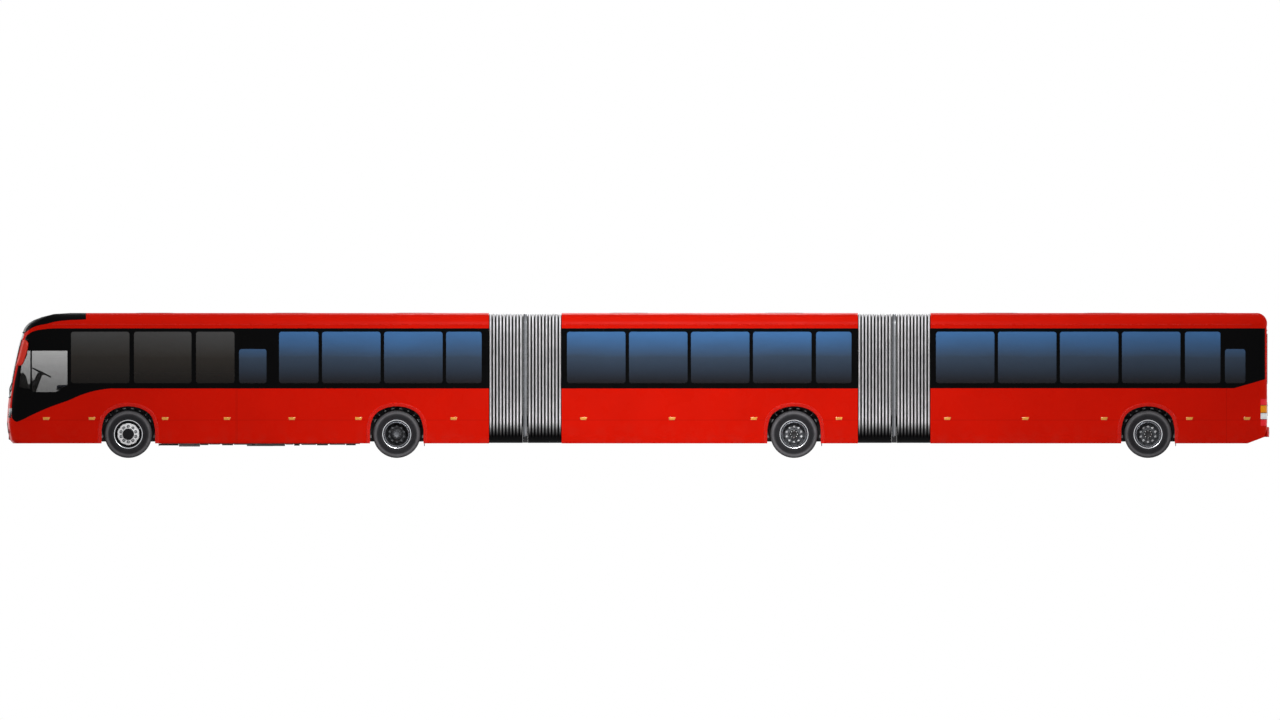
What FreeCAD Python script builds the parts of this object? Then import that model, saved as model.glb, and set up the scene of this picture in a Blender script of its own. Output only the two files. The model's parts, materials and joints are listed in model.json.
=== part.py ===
import FreeCAD, Part
import math
import os

from FreeCAD import Vector

# A bi-articulated city bus in three cars. Millimetres; the nose points to -X, the driver's side is -Y, +Z is up.
# The origin is on the ground, half way along and half way across.

# ---- driving dimensions -------------------------------------------------------------------------------------
FRONT_CAR = 10570.0        # nose to the first bellows
MIDDLE_CAR = 6498.0
REAR_CAR = 7383.0          # second bellows to the rear face
BELLOWS = 1592.0           # length of each joint between two cars
REAR_BUMPER_DEPTH = 42.0
WIDTH = 2550.0
ROOF_TOP = 3180.0
ROOF_DEPTH = 265.0         # gutter line to the top of the roof
ROOF_CORNER = 240.0        # radius of the roof's long edges
SKIRT_BOTTOM = 320.0
WALL = 60.0
FLOOR_THICKNESS = 60.0

# ---- axles and wheels ---------------------------------------------------------------------------------------
FRONT_OVERHANG = 2662.0    # nose to the steered axle
WHEELBASE = 5886.0         # steered axle to the driven axle
MIDDLE_AXLE_FROM_END = 1400.0
REAR_AXLE_FROM_END = 2612.0
TYRE_RADIUS = 522.0
TYRE_WIDTH = 295.0
TWIN_GAP = 45.0
TYRE_INSET = 25.0          # side panel to the outermost tyre wall
RIM_RADIUS = 292.0
RIM_THICKNESS = 30.0
RIM_FLANGE = 314.0
FLOOR_ABOVE_HUB = 408.0    # wheel centre to the top of the floor
ARCH_GAP = 66.0            # tyre to the arch's straight sides
ARCH_HEADROOM = 90.0       # tyre to the arch's top
ARCH_SHOULDER_RISE = 92.0  # wheel centre to where the arch's straight sides end
HOUSING_WALL = 16.0
STEER_DEPTH = 690.0        # the steered wheels' housing, in from the side panel
STEER_GAP = 168.0          # tyre to the ends of the steered wheels' housing
TWIN_DEPTH = 715.0
TWIN_HOUSING_GAP = 103.0
KING_PIN_INSET = 202.5     # wheel's middle plane to the king pin
SPINDLE_RADIUS = 40.0
STUB_RADIUS = 50.0
PIN_CLEARANCE = 0.5
TRACK_ARM = 210.0

# ---- glass --------------------------------------------------------------------------------------------------
GLASS_BOTTOM = 1640.0
GLASS_TOP_DROP = 410.0     # roof top down to the tall panes' top edge
SMALL_PANE_DROP = 790.0    # roof top down to the small panes' top edge
PANE_CORNER = 60.0
PANE_THICKNESS = 8.0
PANE_RECESS = 4.0
END_POST = 160.0           # last pane to the bellows
PANE_POST = 77.0
PANE_PITCH = 1364.0

# ---- doors --------------------------------------------------------------------------------------------------
DOOR_WIDTH = 1250.0
DOOR_THICKNESS = 40.0
DOOR_RECESS = 5.0
DOOR_TOP_DROP = 350.0      # roof top down to the doorway's top edge
DOOR_GAP = 10.0
DOOR_POST = 80.0

# ---- joints between the cars --------------------------------------------------------------------------------
PORTAL_DEPTH = 50.0
PORTAL_POST = 110.0
PASSAGE_DROP = 330.0       # roof top down to the passage's ceiling
HOOP_HALF = 32.0
HOOP_RING = 70.0
BELLOWS_INSET = 15.0
BELLOWS_WALL = 90.0
BELLOWS_BOTTOM = 340.0
FLOOR_DISC = 740.0
TURNTABLE = 300.0
TURNTABLE_DROP = 240.0     # floor to the underside of the turntables
TURNTABLE_PLATE = 70.0
TURNTABLE_GAP = 6.0
PIVOT_PIN = 70.0

# ---- frame under the floor ----------------------------------------------------------------------------------
RAIL_INSET = 845.0         # side of the body to the rail's outer face
RAIL_WIDTH = 80.0
RAIL_HEIGHT = 220.0
CROSS_PITCH = 1150.0
OUTRIGGER_HEIGHT = 70.0
FRAME_SETBACK = 340.0      # nose to the front cross beam
TOWING_REACH = 95.0        # cross beam to the towing eye
TOWING_WIDTH = 90.0
TOWING_BORE = 20.0

# ---- seats --------------------------------------------------------------------------------------------------
SEAT_PITCH = 790.0
SEAT_WIDTH = 860.0         # a pair of seats
SEAT_HEIGHT = 430.0
BACK_HEIGHT = 850.0

# ---- places that follow from them ---------------------------------------------------------------------------
HALF = WIDTH / 2
FLOOR_TOP = TYRE_RADIUS + FLOOR_ABOVE_HUB
ARCH_HALF = TYRE_RADIUS + ARCH_GAP
ARCH_TOP = 2 * TYRE_RADIUS + ARCH_HEADROOM
ARCH_SHOULDER = TYRE_RADIUS + ARCH_SHOULDER_RISE
STEER_HALF = TYRE_RADIUS + STEER_GAP
TWIN_HALF = TYRE_RADIUS + TWIN_HOUSING_GAP
TURNTABLE_BOTTOM = FLOOR_TOP - TURNTABLE_DROP
RAIL_OUTER = HALF - RAIL_INSET
LENGTH = FRONT_CAR + BELLOWS + MIDDLE_CAR + BELLOWS + REAR_CAR + REAR_BUMPER_DEPTH
NOSE_X = -LENGTH / 2
FRONT_END_X = NOSE_X + FRONT_CAR
MIDDLE_START_X = FRONT_END_X + BELLOWS
MIDDLE_END_X = MIDDLE_START_X + MIDDLE_CAR
REAR_START_X = MIDDLE_END_X + BELLOWS
REAR_FACE_X = REAR_START_X + REAR_CAR
FRONT_PIVOT_X = (FRONT_END_X + MIDDLE_START_X) / 2
REAR_PIVOT_X = (MIDDLE_END_X + REAR_START_X) / 2
STEER_AXLE_X = NOSE_X + FRONT_OVERHANG
DRIVE_AXLE_X = STEER_AXLE_X + WHEELBASE
MIDDLE_AXLE_X = MIDDLE_END_X - MIDDLE_AXLE_FROM_END
REAR_AXLE_X = REAR_FACE_X - REAR_AXLE_FROM_END
GUTTER = ROOF_TOP - ROOF_DEPTH
FLOOR_BOTTOM = FLOOR_TOP - FLOOR_THICKNESS
GLASS_TOP = ROOF_TOP - GLASS_TOP_DROP
SMALL_PANE_TOP = ROOF_TOP - SMALL_PANE_DROP
DOOR_TOP = ROOF_TOP - DOOR_TOP_DROP
PASSAGE_TOP = ROOF_TOP - PASSAGE_DROP
INSIDE = HALF - WALL
SINGLE_PLANE = HALF - TYRE_INSET - TYRE_WIDTH / 2
TWIN_OFFSET = (TYRE_WIDTH + TWIN_GAP) / 2
TWIN_PLANE = HALF - TYRE_INSET - TYRE_WIDTH / 2 - TWIN_OFFSET
KING_PIN_Y = SINGLE_PLANE - KING_PIN_INSET
RAIL_BOTTOM = FLOOR_BOTTOM - RAIL_HEIGHT
RAIL_INNER = RAIL_OUTER - RAIL_WIDTH
NOSE_SPLIT_X = NOSE_X + 528.0
NOSE_BACK_X = NOSE_X + 1900.0
LEFT, RIGHT = -1, 1

# The nose seen from the side: how far the middle of the face lies behind the foremost point.
NOSE_LOWER = (             # (height, setback)
    (SKIRT_BOTTOM, 132.0),
    (395.0, 66.0),
    (570.0, 22.0),
    (768.0, 0.0),
    (1162.0, 22.0),
    (1513.0, 66.0),
)
NOSE_UPPER = (             # (drop below the roof's top, setback)
    (1404.0, 110.0),
    (1173.0, 154.0),
    (965.0, 198.0),
    (779.0, 241.0),
    (614.0, 285.0),
    (483.0, 329.0),
    (351.0, 373.0),
    (285.0, 417.0),
    (219.0, 483.0),
    (154.0, 592.0),
    (88.0, 768.0),
    (22.0, 1031.0),
    (0.0, 1388.0),
)
NOSE_BOW = 40.0            # how far the face falls back from its middle to its corners
NOSE_CORNER_DEPTH = 200.0
NOSE_CORNER_WIDTH = 200.0

# Panes along the driver's side: (width, post behind it, small pane or not). They stretch to fill their car.
FRONT_PANES = (
    (1283.0, 98.0, False),
    (1261.0, 99.0, False),
    (844.0, 99.0, False),
    (603.0, 274.0, True),
    (866.0, 77.0, False),
    (1283.0, 77.0, False),
    (1283.0, 76.0, False),
    (779.0, 0.0, False),
)
MIDDLE_PANES = (
    (1283.0, 77.0, False),
    (1283.0, 76.0, False),
    (1283.0, 77.0, False),
    (1283.0, 99.0, False),
    (778.0, 0.0, False),
)
REAR_PANES = (
    (1283.0, 77.0, False),
    (1283.0, 76.0, False),
    (1283.0, 77.0, False),
    (1283.0, 99.0, False),
    (778.0, 99.0, False),
    (449.0, 0.0, True),
)


# ---- small tools --------------------------------------------------------------------------------------------
def box(x, y, z):
    """A box from its (low, high) pairs along the three axes."""
    return Part.makeBox(x[1] - x[0], y[1] - y[0], z[1] - z[0], Vector(x[0], y[0], z[0]))


def sided(side, inner, outer):
    """The (low, high) pair of Y for a span measured out from the middle on one side."""
    return (inner, outer) if side == RIGHT else (-outer, -inner)


def upright(x, y, radius, z):
    return Part.makeCylinder(radius, z[1] - z[0], Vector(x, y, z[0]), Vector(0, 0, 1))


def across(x, y, radius, z):
    """A cylinder that lies across the bus, over the (low, high) pair y."""
    return Part.makeCylinder(radius, y[1] - y[0], Vector(x, y[0], z), Vector(0, 1, 0))


def outline(place, start, steps):
    """A flat face. Each step is a point to draw a line to, or a (middle, end) pair to draw an arc through."""
    edges = []
    here = place(*start)
    for step in steps:
        if isinstance(step[0], tuple):
            end = place(*step[1])
            edges.append(Part.Arc(here, place(*step[0]), end).toShape())
        else:
            end = place(*step)
            edges.append(Part.LineSegment(here, end).toShape())
        here = end
    if (here - place(*start)).Length > 1e-6:
        edges.append(Part.LineSegment(here, place(*start)).toShape())
    return Part.Face(Part.Wire(edges))


def rounded(a, b, radius):
    """Start and steps of a rounded rectangle over the (low, high) pairs a and b."""
    nook = radius * (1 - math.sqrt(0.5))
    start = (a[0] + radius, b[0])
    steps = [
        (a[1] - radius, b[0]),
        ((a[1] - nook, b[0] + nook), (a[1], b[0] + radius)),
        (a[1], b[1] - radius),
        ((a[1] - nook, b[1] - nook), (a[1] - radius, b[1])),
        (a[0] + radius, b[1]),
        ((a[0] + nook, b[1] - nook), (a[0], b[1] - radius)),
        (a[0], b[0] + radius),
        ((a[0] + nook, b[0] + nook), start),
    ]
    return start, steps


def lengthwise(start, steps, y):
    """A prism whose outline is drawn along the bus, in X and Z, over the (low, high) pair y."""
    face = outline(lambda a, b: Vector(a, y[0], b), start, steps)
    return face.extrude(Vector(0, y[1] - y[0], 0))


def crosswise(start, steps, x):
    """A prism whose outline is drawn across the bus, in Y and Z, over the (low, high) pair x."""
    face = outline(lambda a, b: Vector(x[0], a, b), start, steps)
    return face.extrude(Vector(x[1] - x[0], 0, 0))


def joined(shapes):
    return shapes[0].multiFuse(shapes[1:]).removeSplitter() if len(shapes) > 1 else shapes[0]


def save(name, shape):
    solids = shape.Solids
    whole = solids[0] if len(solids) == 1 else Part.makeCompound(solids)
    whole.exportStep("parts/%s.step" % name)


# ---- body shells --------------------------------------------------------------------------------------------
def section(inset, x, bottom):
    """The body's outline across the car, set in by inset, over a length of the car."""
    half = HALF - inset
    radius = ROOF_CORNER - inset
    turn = math.radians(80)
    shoulder = (half - radius * (1 - math.cos(turn / 2)), GUTTER + radius * math.sin(turn / 2))
    edge = (half - radius * (1 - math.cos(turn)), GUTTER + radius * math.sin(turn))
    steps = [
        (half, GUTTER),
        (shoulder, edge),
        ((0.0, ROOF_TOP - inset), (-edge[0], edge[1])),
        ((-shoulder[0], shoulder[1]), (-half, GUTTER)),
        (-half, bottom),
    ]
    return crosswise((half, bottom), steps, x)


def nose_levels():
    """(height, setback) pairs from the skirt up to the roof."""
    return list(NOSE_LOWER) + [(ROOF_TOP - drop, setback) for drop, setback in NOSE_UPPER]


def nose_plan(height, setback, half, inset):
    """The nose's outline at one height, seen from above."""
    face_x = NOSE_X + setback + inset
    corner_x = face_x + NOSE_BOW
    corner_y = half - NOSE_CORNER_WIDTH
    side_x = corner_x + NOSE_CORNER_DEPTH
    bend_x = corner_x + 0.27 * NOSE_CORNER_DEPTH
    bend_y = half - 0.30 * NOSE_CORNER_WIDTH
    steps = [
        (side_x, -half),
        ((bend_x, -bend_y), (corner_x, -corner_y)),
        ((face_x, 0.0), (corner_x, corner_y)),
        ((bend_x, bend_y), (side_x, half)),
        (NOSE_BACK_X, half),
    ]
    return outline(lambda a, b: Vector(a, b, height), (NOSE_BACK_X, -half), steps).OuterWire


def nose_solid(inset):
    """The nose's outer form, set in by inset, back to the plane where the straight body starts."""
    levels = nose_levels()
    top_height = levels[-1][0]
    wires = [nose_plan(height, setback, HALF - inset, inset) for height, setback in levels]
    loft = Part.makeLoft(wires, True, True)
    ceiling = section(inset, (NOSE_X, NOSE_BACK_X), SKIRT_BOTTOM)
    if inset:
        below = box((NOSE_X, NOSE_BACK_X), (-HALF, HALF), (SKIRT_BOTTOM, top_height))
        loft = loft.common(below)
    return loft.common(ceiling)


def front_form(inset):
    """The front car's outer form, set in by inset: the nose and the straight body behind it."""
    return nose_solid(inset).fuse(section(inset, (NOSE_BACK_X, FRONT_END_X), SKIRT_BOTTOM))


def middle_form(inset):
    return section(inset, (MIDDLE_START_X, MIDDLE_END_X), SKIRT_BOTTOM)


def rear_form(inset):
    """The rear car's outer form, set in by inset, with its rounded rear corners."""
    rear = REAR_FACE_X - inset
    start = REAR_START_X
    body = section(inset, (start, rear), SKIRT_BOTTOM)
    top = ROOF_TOP
    side_steps = [
        (start, top),
        (rear - 270.0, top),
        ((rear - 60.0, top - 75.0), (rear - 8.0, top - 300.0)),
        (rear, top - 900.0),
        (rear, 640.0),
        (rear - 60.0, 460.0),
        (rear - 430.0, SKIRT_BOTTOM),
    ]
    side = lengthwise((start, SKIRT_BOTTOM), side_steps, (-HALF, HALF))
    corner = 190.0
    half = HALF - inset
    plan_steps = [
        (rear - corner, -half),
        ((rear - 0.29 * corner, -half + 0.29 * corner), (rear, -half + corner)),
        (rear, half - corner),
        ((rear - 0.29 * corner, half - 0.29 * corner), (rear - corner, half)),
        (start, half),
    ]
    plan = outline(lambda a, b: Vector(a, b, SKIRT_BOTTOM), (start, -half), plan_steps)
    return body.common(side).common(plan.extrude(Vector(0, 0, ROOF_TOP - SKIRT_BOTTOM)))


# ---- openings in the sides ----------------------------------------------------------------------------------
def arch(x, y):
    """A wheel arch's opening: straight sides, round shoulders and a flatter top."""
    low = SKIRT_BOTTOM - 1.0
    rise = ARCH_TOP - ARCH_SHOULDER
    side = ARCH_HALF
    steps = [
        (x - side, ARCH_SHOULDER),
        ((x - 0.86 * side, ARCH_SHOULDER + 0.575 * rise), (x - 0.5 * side, ARCH_SHOULDER + 0.89 * rise)),
        ((x, ARCH_TOP), (x + 0.5 * side, ARCH_SHOULDER + 0.89 * rise)),
        ((x + 0.86 * side, ARCH_SHOULDER + 0.575 * rise), (x + side, ARCH_SHOULDER)),
        (x + side, low),
    ]
    return lengthwise((x - side, low), steps, y)


def pane_spans(start, end, panes):
    """(x from, x to, small) for a row of panes that fills the span from start to end."""
    posts = sum(post for width, post, small in panes)
    stretch = (end - start - posts) / sum(width for width, post, small in panes)
    spans = []
    x = start
    for width, post, small in panes:
        spans.append((x, x + width * stretch, small))
        x += width * stretch + post
    return spans


def even_spans(start, end):
    """(x from, x to, small) for equal tall panes that fill the span from start to end."""
    count = max(1, round((end - start) / PANE_PITCH))
    width = (end - start - PANE_POST * (count - 1)) / count
    return [(start + n * (width + PANE_POST), start + n * (width + PANE_POST) + width, False) for n in range(count)]


def pane(span, y):
    x0, x1, small = span
    top = SMALL_PANE_TOP if small else GLASS_TOP
    start, steps = rounded((x0, x1), (GLASS_BOTTOM, top), PANE_CORNER)
    return lengthwise(start, steps, y)


def cab_pane(y):
    """The window beside the driver, with its lower rear corner cut off."""
    x0 = NOSE_SPLIT_X + 20.0
    x1 = x0 + 777.0
    top = ROOF_TOP - 829.0
    bottom = top - 904.0
    steps = [(x1 - 260.0, bottom), (x1, bottom + 150.0), (x1, top), (x0, top)]
    return lengthwise((x0, bottom), steps, y)


def quarter_pane(y):
    """The narrow pane between the cab window and the front corner."""
    x1 = NOSE_SPLIT_X - 15.0
    top = ROOF_TOP - 829.0
    steps = [(x1, top), (x1 - 150.0, top), (x1 - 245.0, 1640.0), (x1 - 245.0, 1560.0)]
    return lengthwise((x1, 1500.0), steps, y)


def glass_y(side):
    return sided(side, HALF - PANE_RECESS - PANE_THICKNESS, HALF - PANE_RECESS)


def through_y(side):
    return sided(side, INSIDE - 5.0, HALF + 5.0)


def doorway(x0):
    y = through_y(RIGHT)
    start, steps = rounded((x0, x0 + DOOR_WIDTH), (FLOOR_TOP, DOOR_TOP), 20.0)
    return lengthwise(start, steps, y)


FIRST_DOOR_X = STEER_AXLE_X + 740.0
SECOND_DOOR_X = DRIVE_AXLE_X - 1300.0 - DOOR_WIDTH
THIRD_DOOR_X = MIDDLE_AXLE_X - 1150.0 - DOOR_WIDTH
FOURTH_DOOR_X = REAR_START_X + 1485.0
CAB_POST = 79.0
FIRST_PANE_X = NOSE_SPLIT_X + 20.0 + 777.0 + CAB_POST
FRONT_LAST_X = FRONT_END_X - END_POST
MIDDLE_FIRST_X = MIDDLE_START_X + 120.0
MIDDLE_LAST_X = MIDDLE_END_X - END_POST + 20.0
REAR_FIRST_X = REAR_START_X + 120.0
REAR_LAST_X = REAR_FACE_X - 476.0

WINDOWS = {                # (car, side): spans of its panes
    ("front", LEFT): pane_spans(FIRST_PANE_X, FRONT_LAST_X, FRONT_PANES),
    ("front", RIGHT): even_spans(FIRST_PANE_X, FIRST_DOOR_X - DOOR_POST)
    + even_spans(FIRST_DOOR_X + DOOR_WIDTH + DOOR_POST, SECOND_DOOR_X - DOOR_POST)
    + even_spans(SECOND_DOOR_X + DOOR_WIDTH + DOOR_POST, FRONT_LAST_X),
    ("middle", LEFT): pane_spans(MIDDLE_FIRST_X, MIDDLE_LAST_X, MIDDLE_PANES),
    ("middle", RIGHT): even_spans(MIDDLE_FIRST_X, THIRD_DOOR_X - DOOR_POST)
    + even_spans(THIRD_DOOR_X + DOOR_WIDTH + DOOR_POST, MIDDLE_LAST_X),
    ("rear", LEFT): pane_spans(REAR_FIRST_X, REAR_LAST_X, REAR_PANES),
    ("rear", RIGHT): even_spans(REAR_FIRST_X, FOURTH_DOOR_X - DOOR_POST)
    + even_spans(FOURTH_DOOR_X + DOOR_WIDTH + DOOR_POST, REAR_LAST_X),
}
DOORS = {                  # car: where its doorways start
    "front": (FIRST_DOOR_X, SECOND_DOOR_X),
    "middle": (THIRD_DOOR_X,),
    "rear": (FOURTH_DOOR_X,),
}
AXLES = {                  # car: where its axles are
    "front": (STEER_AXLE_X, DRIVE_AXLE_X),
    "middle": (MIDDLE_AXLE_X,),
    "rear": (REAR_AXLE_X,),
}
CAR_SPAN = {
    "front": (NOSE_SPLIT_X, FRONT_END_X),
    "middle": (MIDDLE_START_X, MIDDLE_END_X),
    "rear": (REAR_START_X, REAR_FACE_X - 200.0),
}


def side_panel(shell, car, side):
    x0, x1 = CAR_SPAN[car]
    keep = box((x0, x1), sided(side, INSIDE - 60.0, HALF), (SKIRT_BOTTOM, GUTTER))
    cuts = [arch(x, through_y(side)) for x in AXLES[car]]
    cuts += [pane(span, through_y(side)) for span in WINDOWS[car, side]]
    if side == RIGHT:
        cuts += [doorway(x) for x in DOORS[car]]
    if car == "front":
        cuts.append(cab_pane(through_y(side)))
    return shell.common(keep).cut(cuts)


def side_glass(car):
    panes = []
    for side in (LEFT, RIGHT):
        panes += [pane(span, glass_y(side)) for span in WINDOWS[car, side]]
        if car == "front":
            panes.append(cab_pane(glass_y(side)))
    return panes


def roof(shell, x):
    return shell.common(box(x, (-HALF, HALF), (GUTTER, ROOF_TOP + 1.0)))


# ---- nose ---------------------------------------------------------------------------------------------------
SCREEN_HALF = HALF - 205.0
SCREEN_BOTTOM = 1330.0
SCREEN_TOP_DROP = 430.0
HEADLAMP_Y = (HALF - 515.0, HALF - 65.0)
HEADLAMP_Z = (880.0, 1090.0)


def screen_prism(inset):
    y = (-SCREEN_HALF + inset, SCREEN_HALF - inset)
    z = (SCREEN_BOTTOM + inset, ROOF_TOP - SCREEN_TOP_DROP - inset)
    start, steps = rounded(y, z, 110.0)
    return crosswise(start, steps, (NOSE_X - 1.0, NOSE_SPLIT_X))


def headlamp_block(side):
    return box((NOSE_X, NOSE_SPLIT_X), sided(side, *HEADLAMP_Y), HEADLAMP_Z)


def nose_shell(shell):
    mask = shell.common(box((NOSE_X, NOSE_SPLIT_X), (-HALF, HALF), (SKIRT_BOTTOM, GUTTER)))
    cuts = [screen_prism(0.0)]
    cuts += [quarter_pane(sided(side, 800.0, HALF)) for side in (LEFT, RIGHT)]
    cuts += [headlamp_block(side) for side in (LEFT, RIGHT)]
    return mask.cut(cuts)


def nose_glass():
    sheet = nose_solid(PANE_RECESS).cut(nose_solid(PANE_RECESS + PANE_THICKNESS))
    panes = [sheet.common(screen_prism(0.0))]
    panes += [sheet.common(quarter_pane(sided(side, 800.0, HALF))) for side in (LEFT, RIGHT)]
    return panes


def headlamps(shell):
    return [shell.common(headlamp_block(side)) for side in (LEFT, RIGHT)]


# ---- rear ---------------------------------------------------------------------------------------------------
TAIL_LAMP_DEPTH = 142.0
TAIL_LAMP_Z = (700.0, 1298.0)
REAR_GLASS_HALF = HALF - 375.0
REAR_BUMPER_Z = (461.0, 680.0)


def tail_lamp_block(side):
    x = (REAR_FACE_X - TAIL_LAMP_DEPTH, REAR_FACE_X)
    return box(x, sided(side, HALF - 190.0, HALF), TAIL_LAMP_Z)


def rear_glass(x):
    start, steps = rounded((-REAR_GLASS_HALF, REAR_GLASS_HALF), (GLASS_BOTTOM, GLASS_TOP - 60.0), 90.0)
    return crosswise(start, steps, x)


def rear_panel(shell):
    x = (CAR_SPAN["rear"][1], REAR_FACE_X + 1.0)
    panel = shell.common(box(x, (-HALF, HALF), (SKIRT_BOTTOM, GUTTER)))
    panel = panel.cut([tail_lamp_block(LEFT), tail_lamp_block(RIGHT), rear_glass((x[0], x[1] + 5.0))])
    start = (REAR_FACE_X - WALL, -HALF + 215.0)
    face_x = REAR_FACE_X + REAR_BUMPER_DEPTH
    steps = [
        (REAR_FACE_X, -HALF + 200.0),
        ((REAR_FACE_X + 0.747 * REAR_BUMPER_DEPTH, -HALF + 288.0), (face_x, -HALF + 380.0)),
        (face_x, HALF - 380.0),
        ((REAR_FACE_X + 0.747 * REAR_BUMPER_DEPTH, HALF - 288.0), (REAR_FACE_X, HALF - 200.0)),
        (REAR_FACE_X - WALL, HALF - 215.0),
    ]
    plan = outline(lambda a, b: Vector(a, b, REAR_BUMPER_Z[0]), start, steps)
    bumper = plan.extrude(Vector(0, 0, REAR_BUMPER_Z[1] - REAR_BUMPER_Z[0]))
    return panel.fuse(bumper)


# ---- floors and the frame below -----------------------------------------------------------------------------
def housing_size(axle_x):
    """(half length, depth) of the wheel housings over an axle."""
    return (STEER_HALF, STEER_DEPTH) if axle_x == STEER_AXLE_X else (TWIN_HALF, TWIN_DEPTH)


def floor(car, x):
    slab = box(x, (-INSIDE, INSIDE), (FLOOR_BOTTOM, FLOOR_TOP))
    for axle_x in AXLES[car]:
        half, depth = housing_size(axle_x)
        for side in (LEFT, RIGHT):
            span = (axle_x - half, axle_x + half)
            shell = box((span[0] - HOUSING_WALL, span[1] + HOUSING_WALL),
                        sided(side, HALF - depth - HOUSING_WALL, INSIDE),
                        (FLOOR_BOTTOM, ARCH_TOP + HOUSING_WALL))
            hollow = box(span, sided(side, HALF - depth, INSIDE), (FLOOR_BOTTOM, ARCH_TOP))
            slab = slab.fuse(shell).cut(hollow)
    return slab


def clear_of_axles(car, x, margin):
    return all(abs(x - axle_x) > housing_size(axle_x)[0] + margin for axle_x in AXLES[car])


def stations(car, x):
    """Where cross members stand, evenly along the car."""
    count = round((x[1] - x[0]) / CROSS_PITCH)
    step = (x[1] - x[0]) / count
    return [x[0] + step * (n + 0.5) for n in range(count)]


def chassis(car, x):
    """Two rails, with cross members between them and outriggers to the side panels."""
    pieces = [box(x, sided(side, RAIL_INNER, RAIL_OUTER), (RAIL_BOTTOM, FLOOR_BOTTOM)) for side in (LEFT, RIGHT)]
    for place in stations(car, x):
        cross_x = (place - 40.0, place + 40.0)
        pieces.append(box(cross_x, (-RAIL_INNER, RAIL_INNER), (FLOOR_BOTTOM - 90.0, FLOOR_BOTTOM - 10.0)))
        if clear_of_axles(car, place, 60.0):
            for side in (LEFT, RIGHT):
                y = sided(side, RAIL_OUTER, INSIDE)
                pieces.append(box(cross_x, y, (FLOOR_BOTTOM - OUTRIGGER_HEIGHT, FLOOR_BOTTOM)))
    return pieces


def portal(x):
    """The frame round the passage at a car's end, down to the bottom of the body."""
    frame = section(WALL, x, SKIRT_BOTTOM + 40.0)
    start, steps = rounded((-INSIDE + PORTAL_POST, INSIDE - PORTAL_POST), (FLOOR_TOP, PASSAGE_TOP), 120.0)
    return frame.cut(crosswise(start, steps, x))


def drawbar(pivot_x, root_x, bottom):
    """A turntable plate with the arm that carries it."""
    z = (bottom, bottom + TURNTABLE_PLATE)
    arm = box((min(pivot_x, root_x), max(pivot_x, root_x)), (-0.85 * TURNTABLE, 0.85 * TURNTABLE), z)
    plate = arm.fuse(upright(pivot_x, 0.0, TURNTABLE, z))
    return plate.cut(upright(pivot_x, 0.0, PIVOT_PIN + PIN_CLEARANCE, z))


UPPER_PLATE = TURNTABLE_BOTTOM + TURNTABLE_PLATE + TURNTABLE_GAP
FRONT_PORTAL_X = (FRONT_END_X - PORTAL_DEPTH, FRONT_END_X)
MIDDLE_PORTALS_X = ((MIDDLE_START_X, MIDDLE_START_X + PORTAL_DEPTH), (MIDDLE_END_X - PORTAL_DEPTH, MIDDLE_END_X))
REAR_PORTAL_X = (REAR_START_X, REAR_START_X + PORTAL_DEPTH)


def towing_eye(x):
    """A plate with an eye, fixed to the cross beam at x and reaching forward."""
    z = (RAIL_BOTTOM - 60.0, RAIL_BOTTOM - 20.0)
    plate = box((x - TOWING_REACH - 45.0, x + 60.0), (-TOWING_WIDTH / 2, TOWING_WIDTH / 2), z)
    return plate.cut(upright(x - TOWING_REACH, 0.0, TOWING_BORE, z))


def front_underframe():
    front_x = NOSE_X + FRAME_SETBACK
    x = (front_x + RAIL_WIDTH, FRONT_PORTAL_X[0])
    beam = box((front_x, x[0]), (-RAIL_OUTER, RAIL_OUTER), (RAIL_BOTTOM - 60.0, FLOOR_BOTTOM))
    pieces = chassis("front", x) + [beam, portal(FRONT_PORTAL_X), towing_eye(front_x)]
    pieces += [drawbar(FRONT_PIVOT_X, FRONT_PORTAL_X[0], TURNTABLE_BOTTOM)]
    return joined(pieces)


def middle_underframe():
    x = (MIDDLE_PORTALS_X[0][1], MIDDLE_PORTALS_X[1][0])
    pieces = chassis("middle", x) + [portal(span) for span in MIDDLE_PORTALS_X]
    pieces += [drawbar(FRONT_PIVOT_X, MIDDLE_PORTALS_X[0][1], UPPER_PLATE)]
    pieces += [drawbar(REAR_PIVOT_X, MIDDLE_PORTALS_X[1][0], TURNTABLE_BOTTOM)]
    return joined(pieces)


def rear_underframe():
    x = (REAR_PORTAL_X[1], REAR_FACE_X - WALL)
    pieces = chassis("rear", x) + [portal(REAR_PORTAL_X)]
    pieces += [drawbar(REAR_PIVOT_X, REAR_PORTAL_X[1], UPPER_PLATE)]
    return joined(pieces)


# ---- joints between the cars --------------------------------------------------------------------------------
def ring_outline(inset, bottom, x):
    """A rounded frame across the bus that follows the body's outline."""
    half = HALF - inset
    start, steps = rounded((-half, half), (bottom, ROOF_TOP - inset), ROOF_CORNER)
    return crosswise(start, steps, x)


def hoop(pivot_x):
    """The middle frame of a joint, with the floor disc and the pin it turns on."""
    x = (pivot_x - HOOP_HALF, pivot_x + HOOP_HALF)
    ring = ring_outline(BELLOWS_INSET, BELLOWS_BOTTOM, x)
    ring = ring.cut(ring_outline(BELLOWS_INSET + HOOP_RING, BELLOWS_BOTTOM + HOOP_RING, x))
    beam = box(x, (-HALF + 60.0, HALF - 60.0), (FLOOR_TOP - 70.0, FLOOR_TOP))
    disc = upright(pivot_x, 0.0, FLOOR_DISC, (FLOOR_TOP - 30.0, FLOOR_TOP))
    pin = upright(pivot_x, 0.0, PIVOT_PIN, (TURNTABLE_BOTTOM, FLOOR_TOP))
    return joined([ring, beam, disc, pin])


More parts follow.
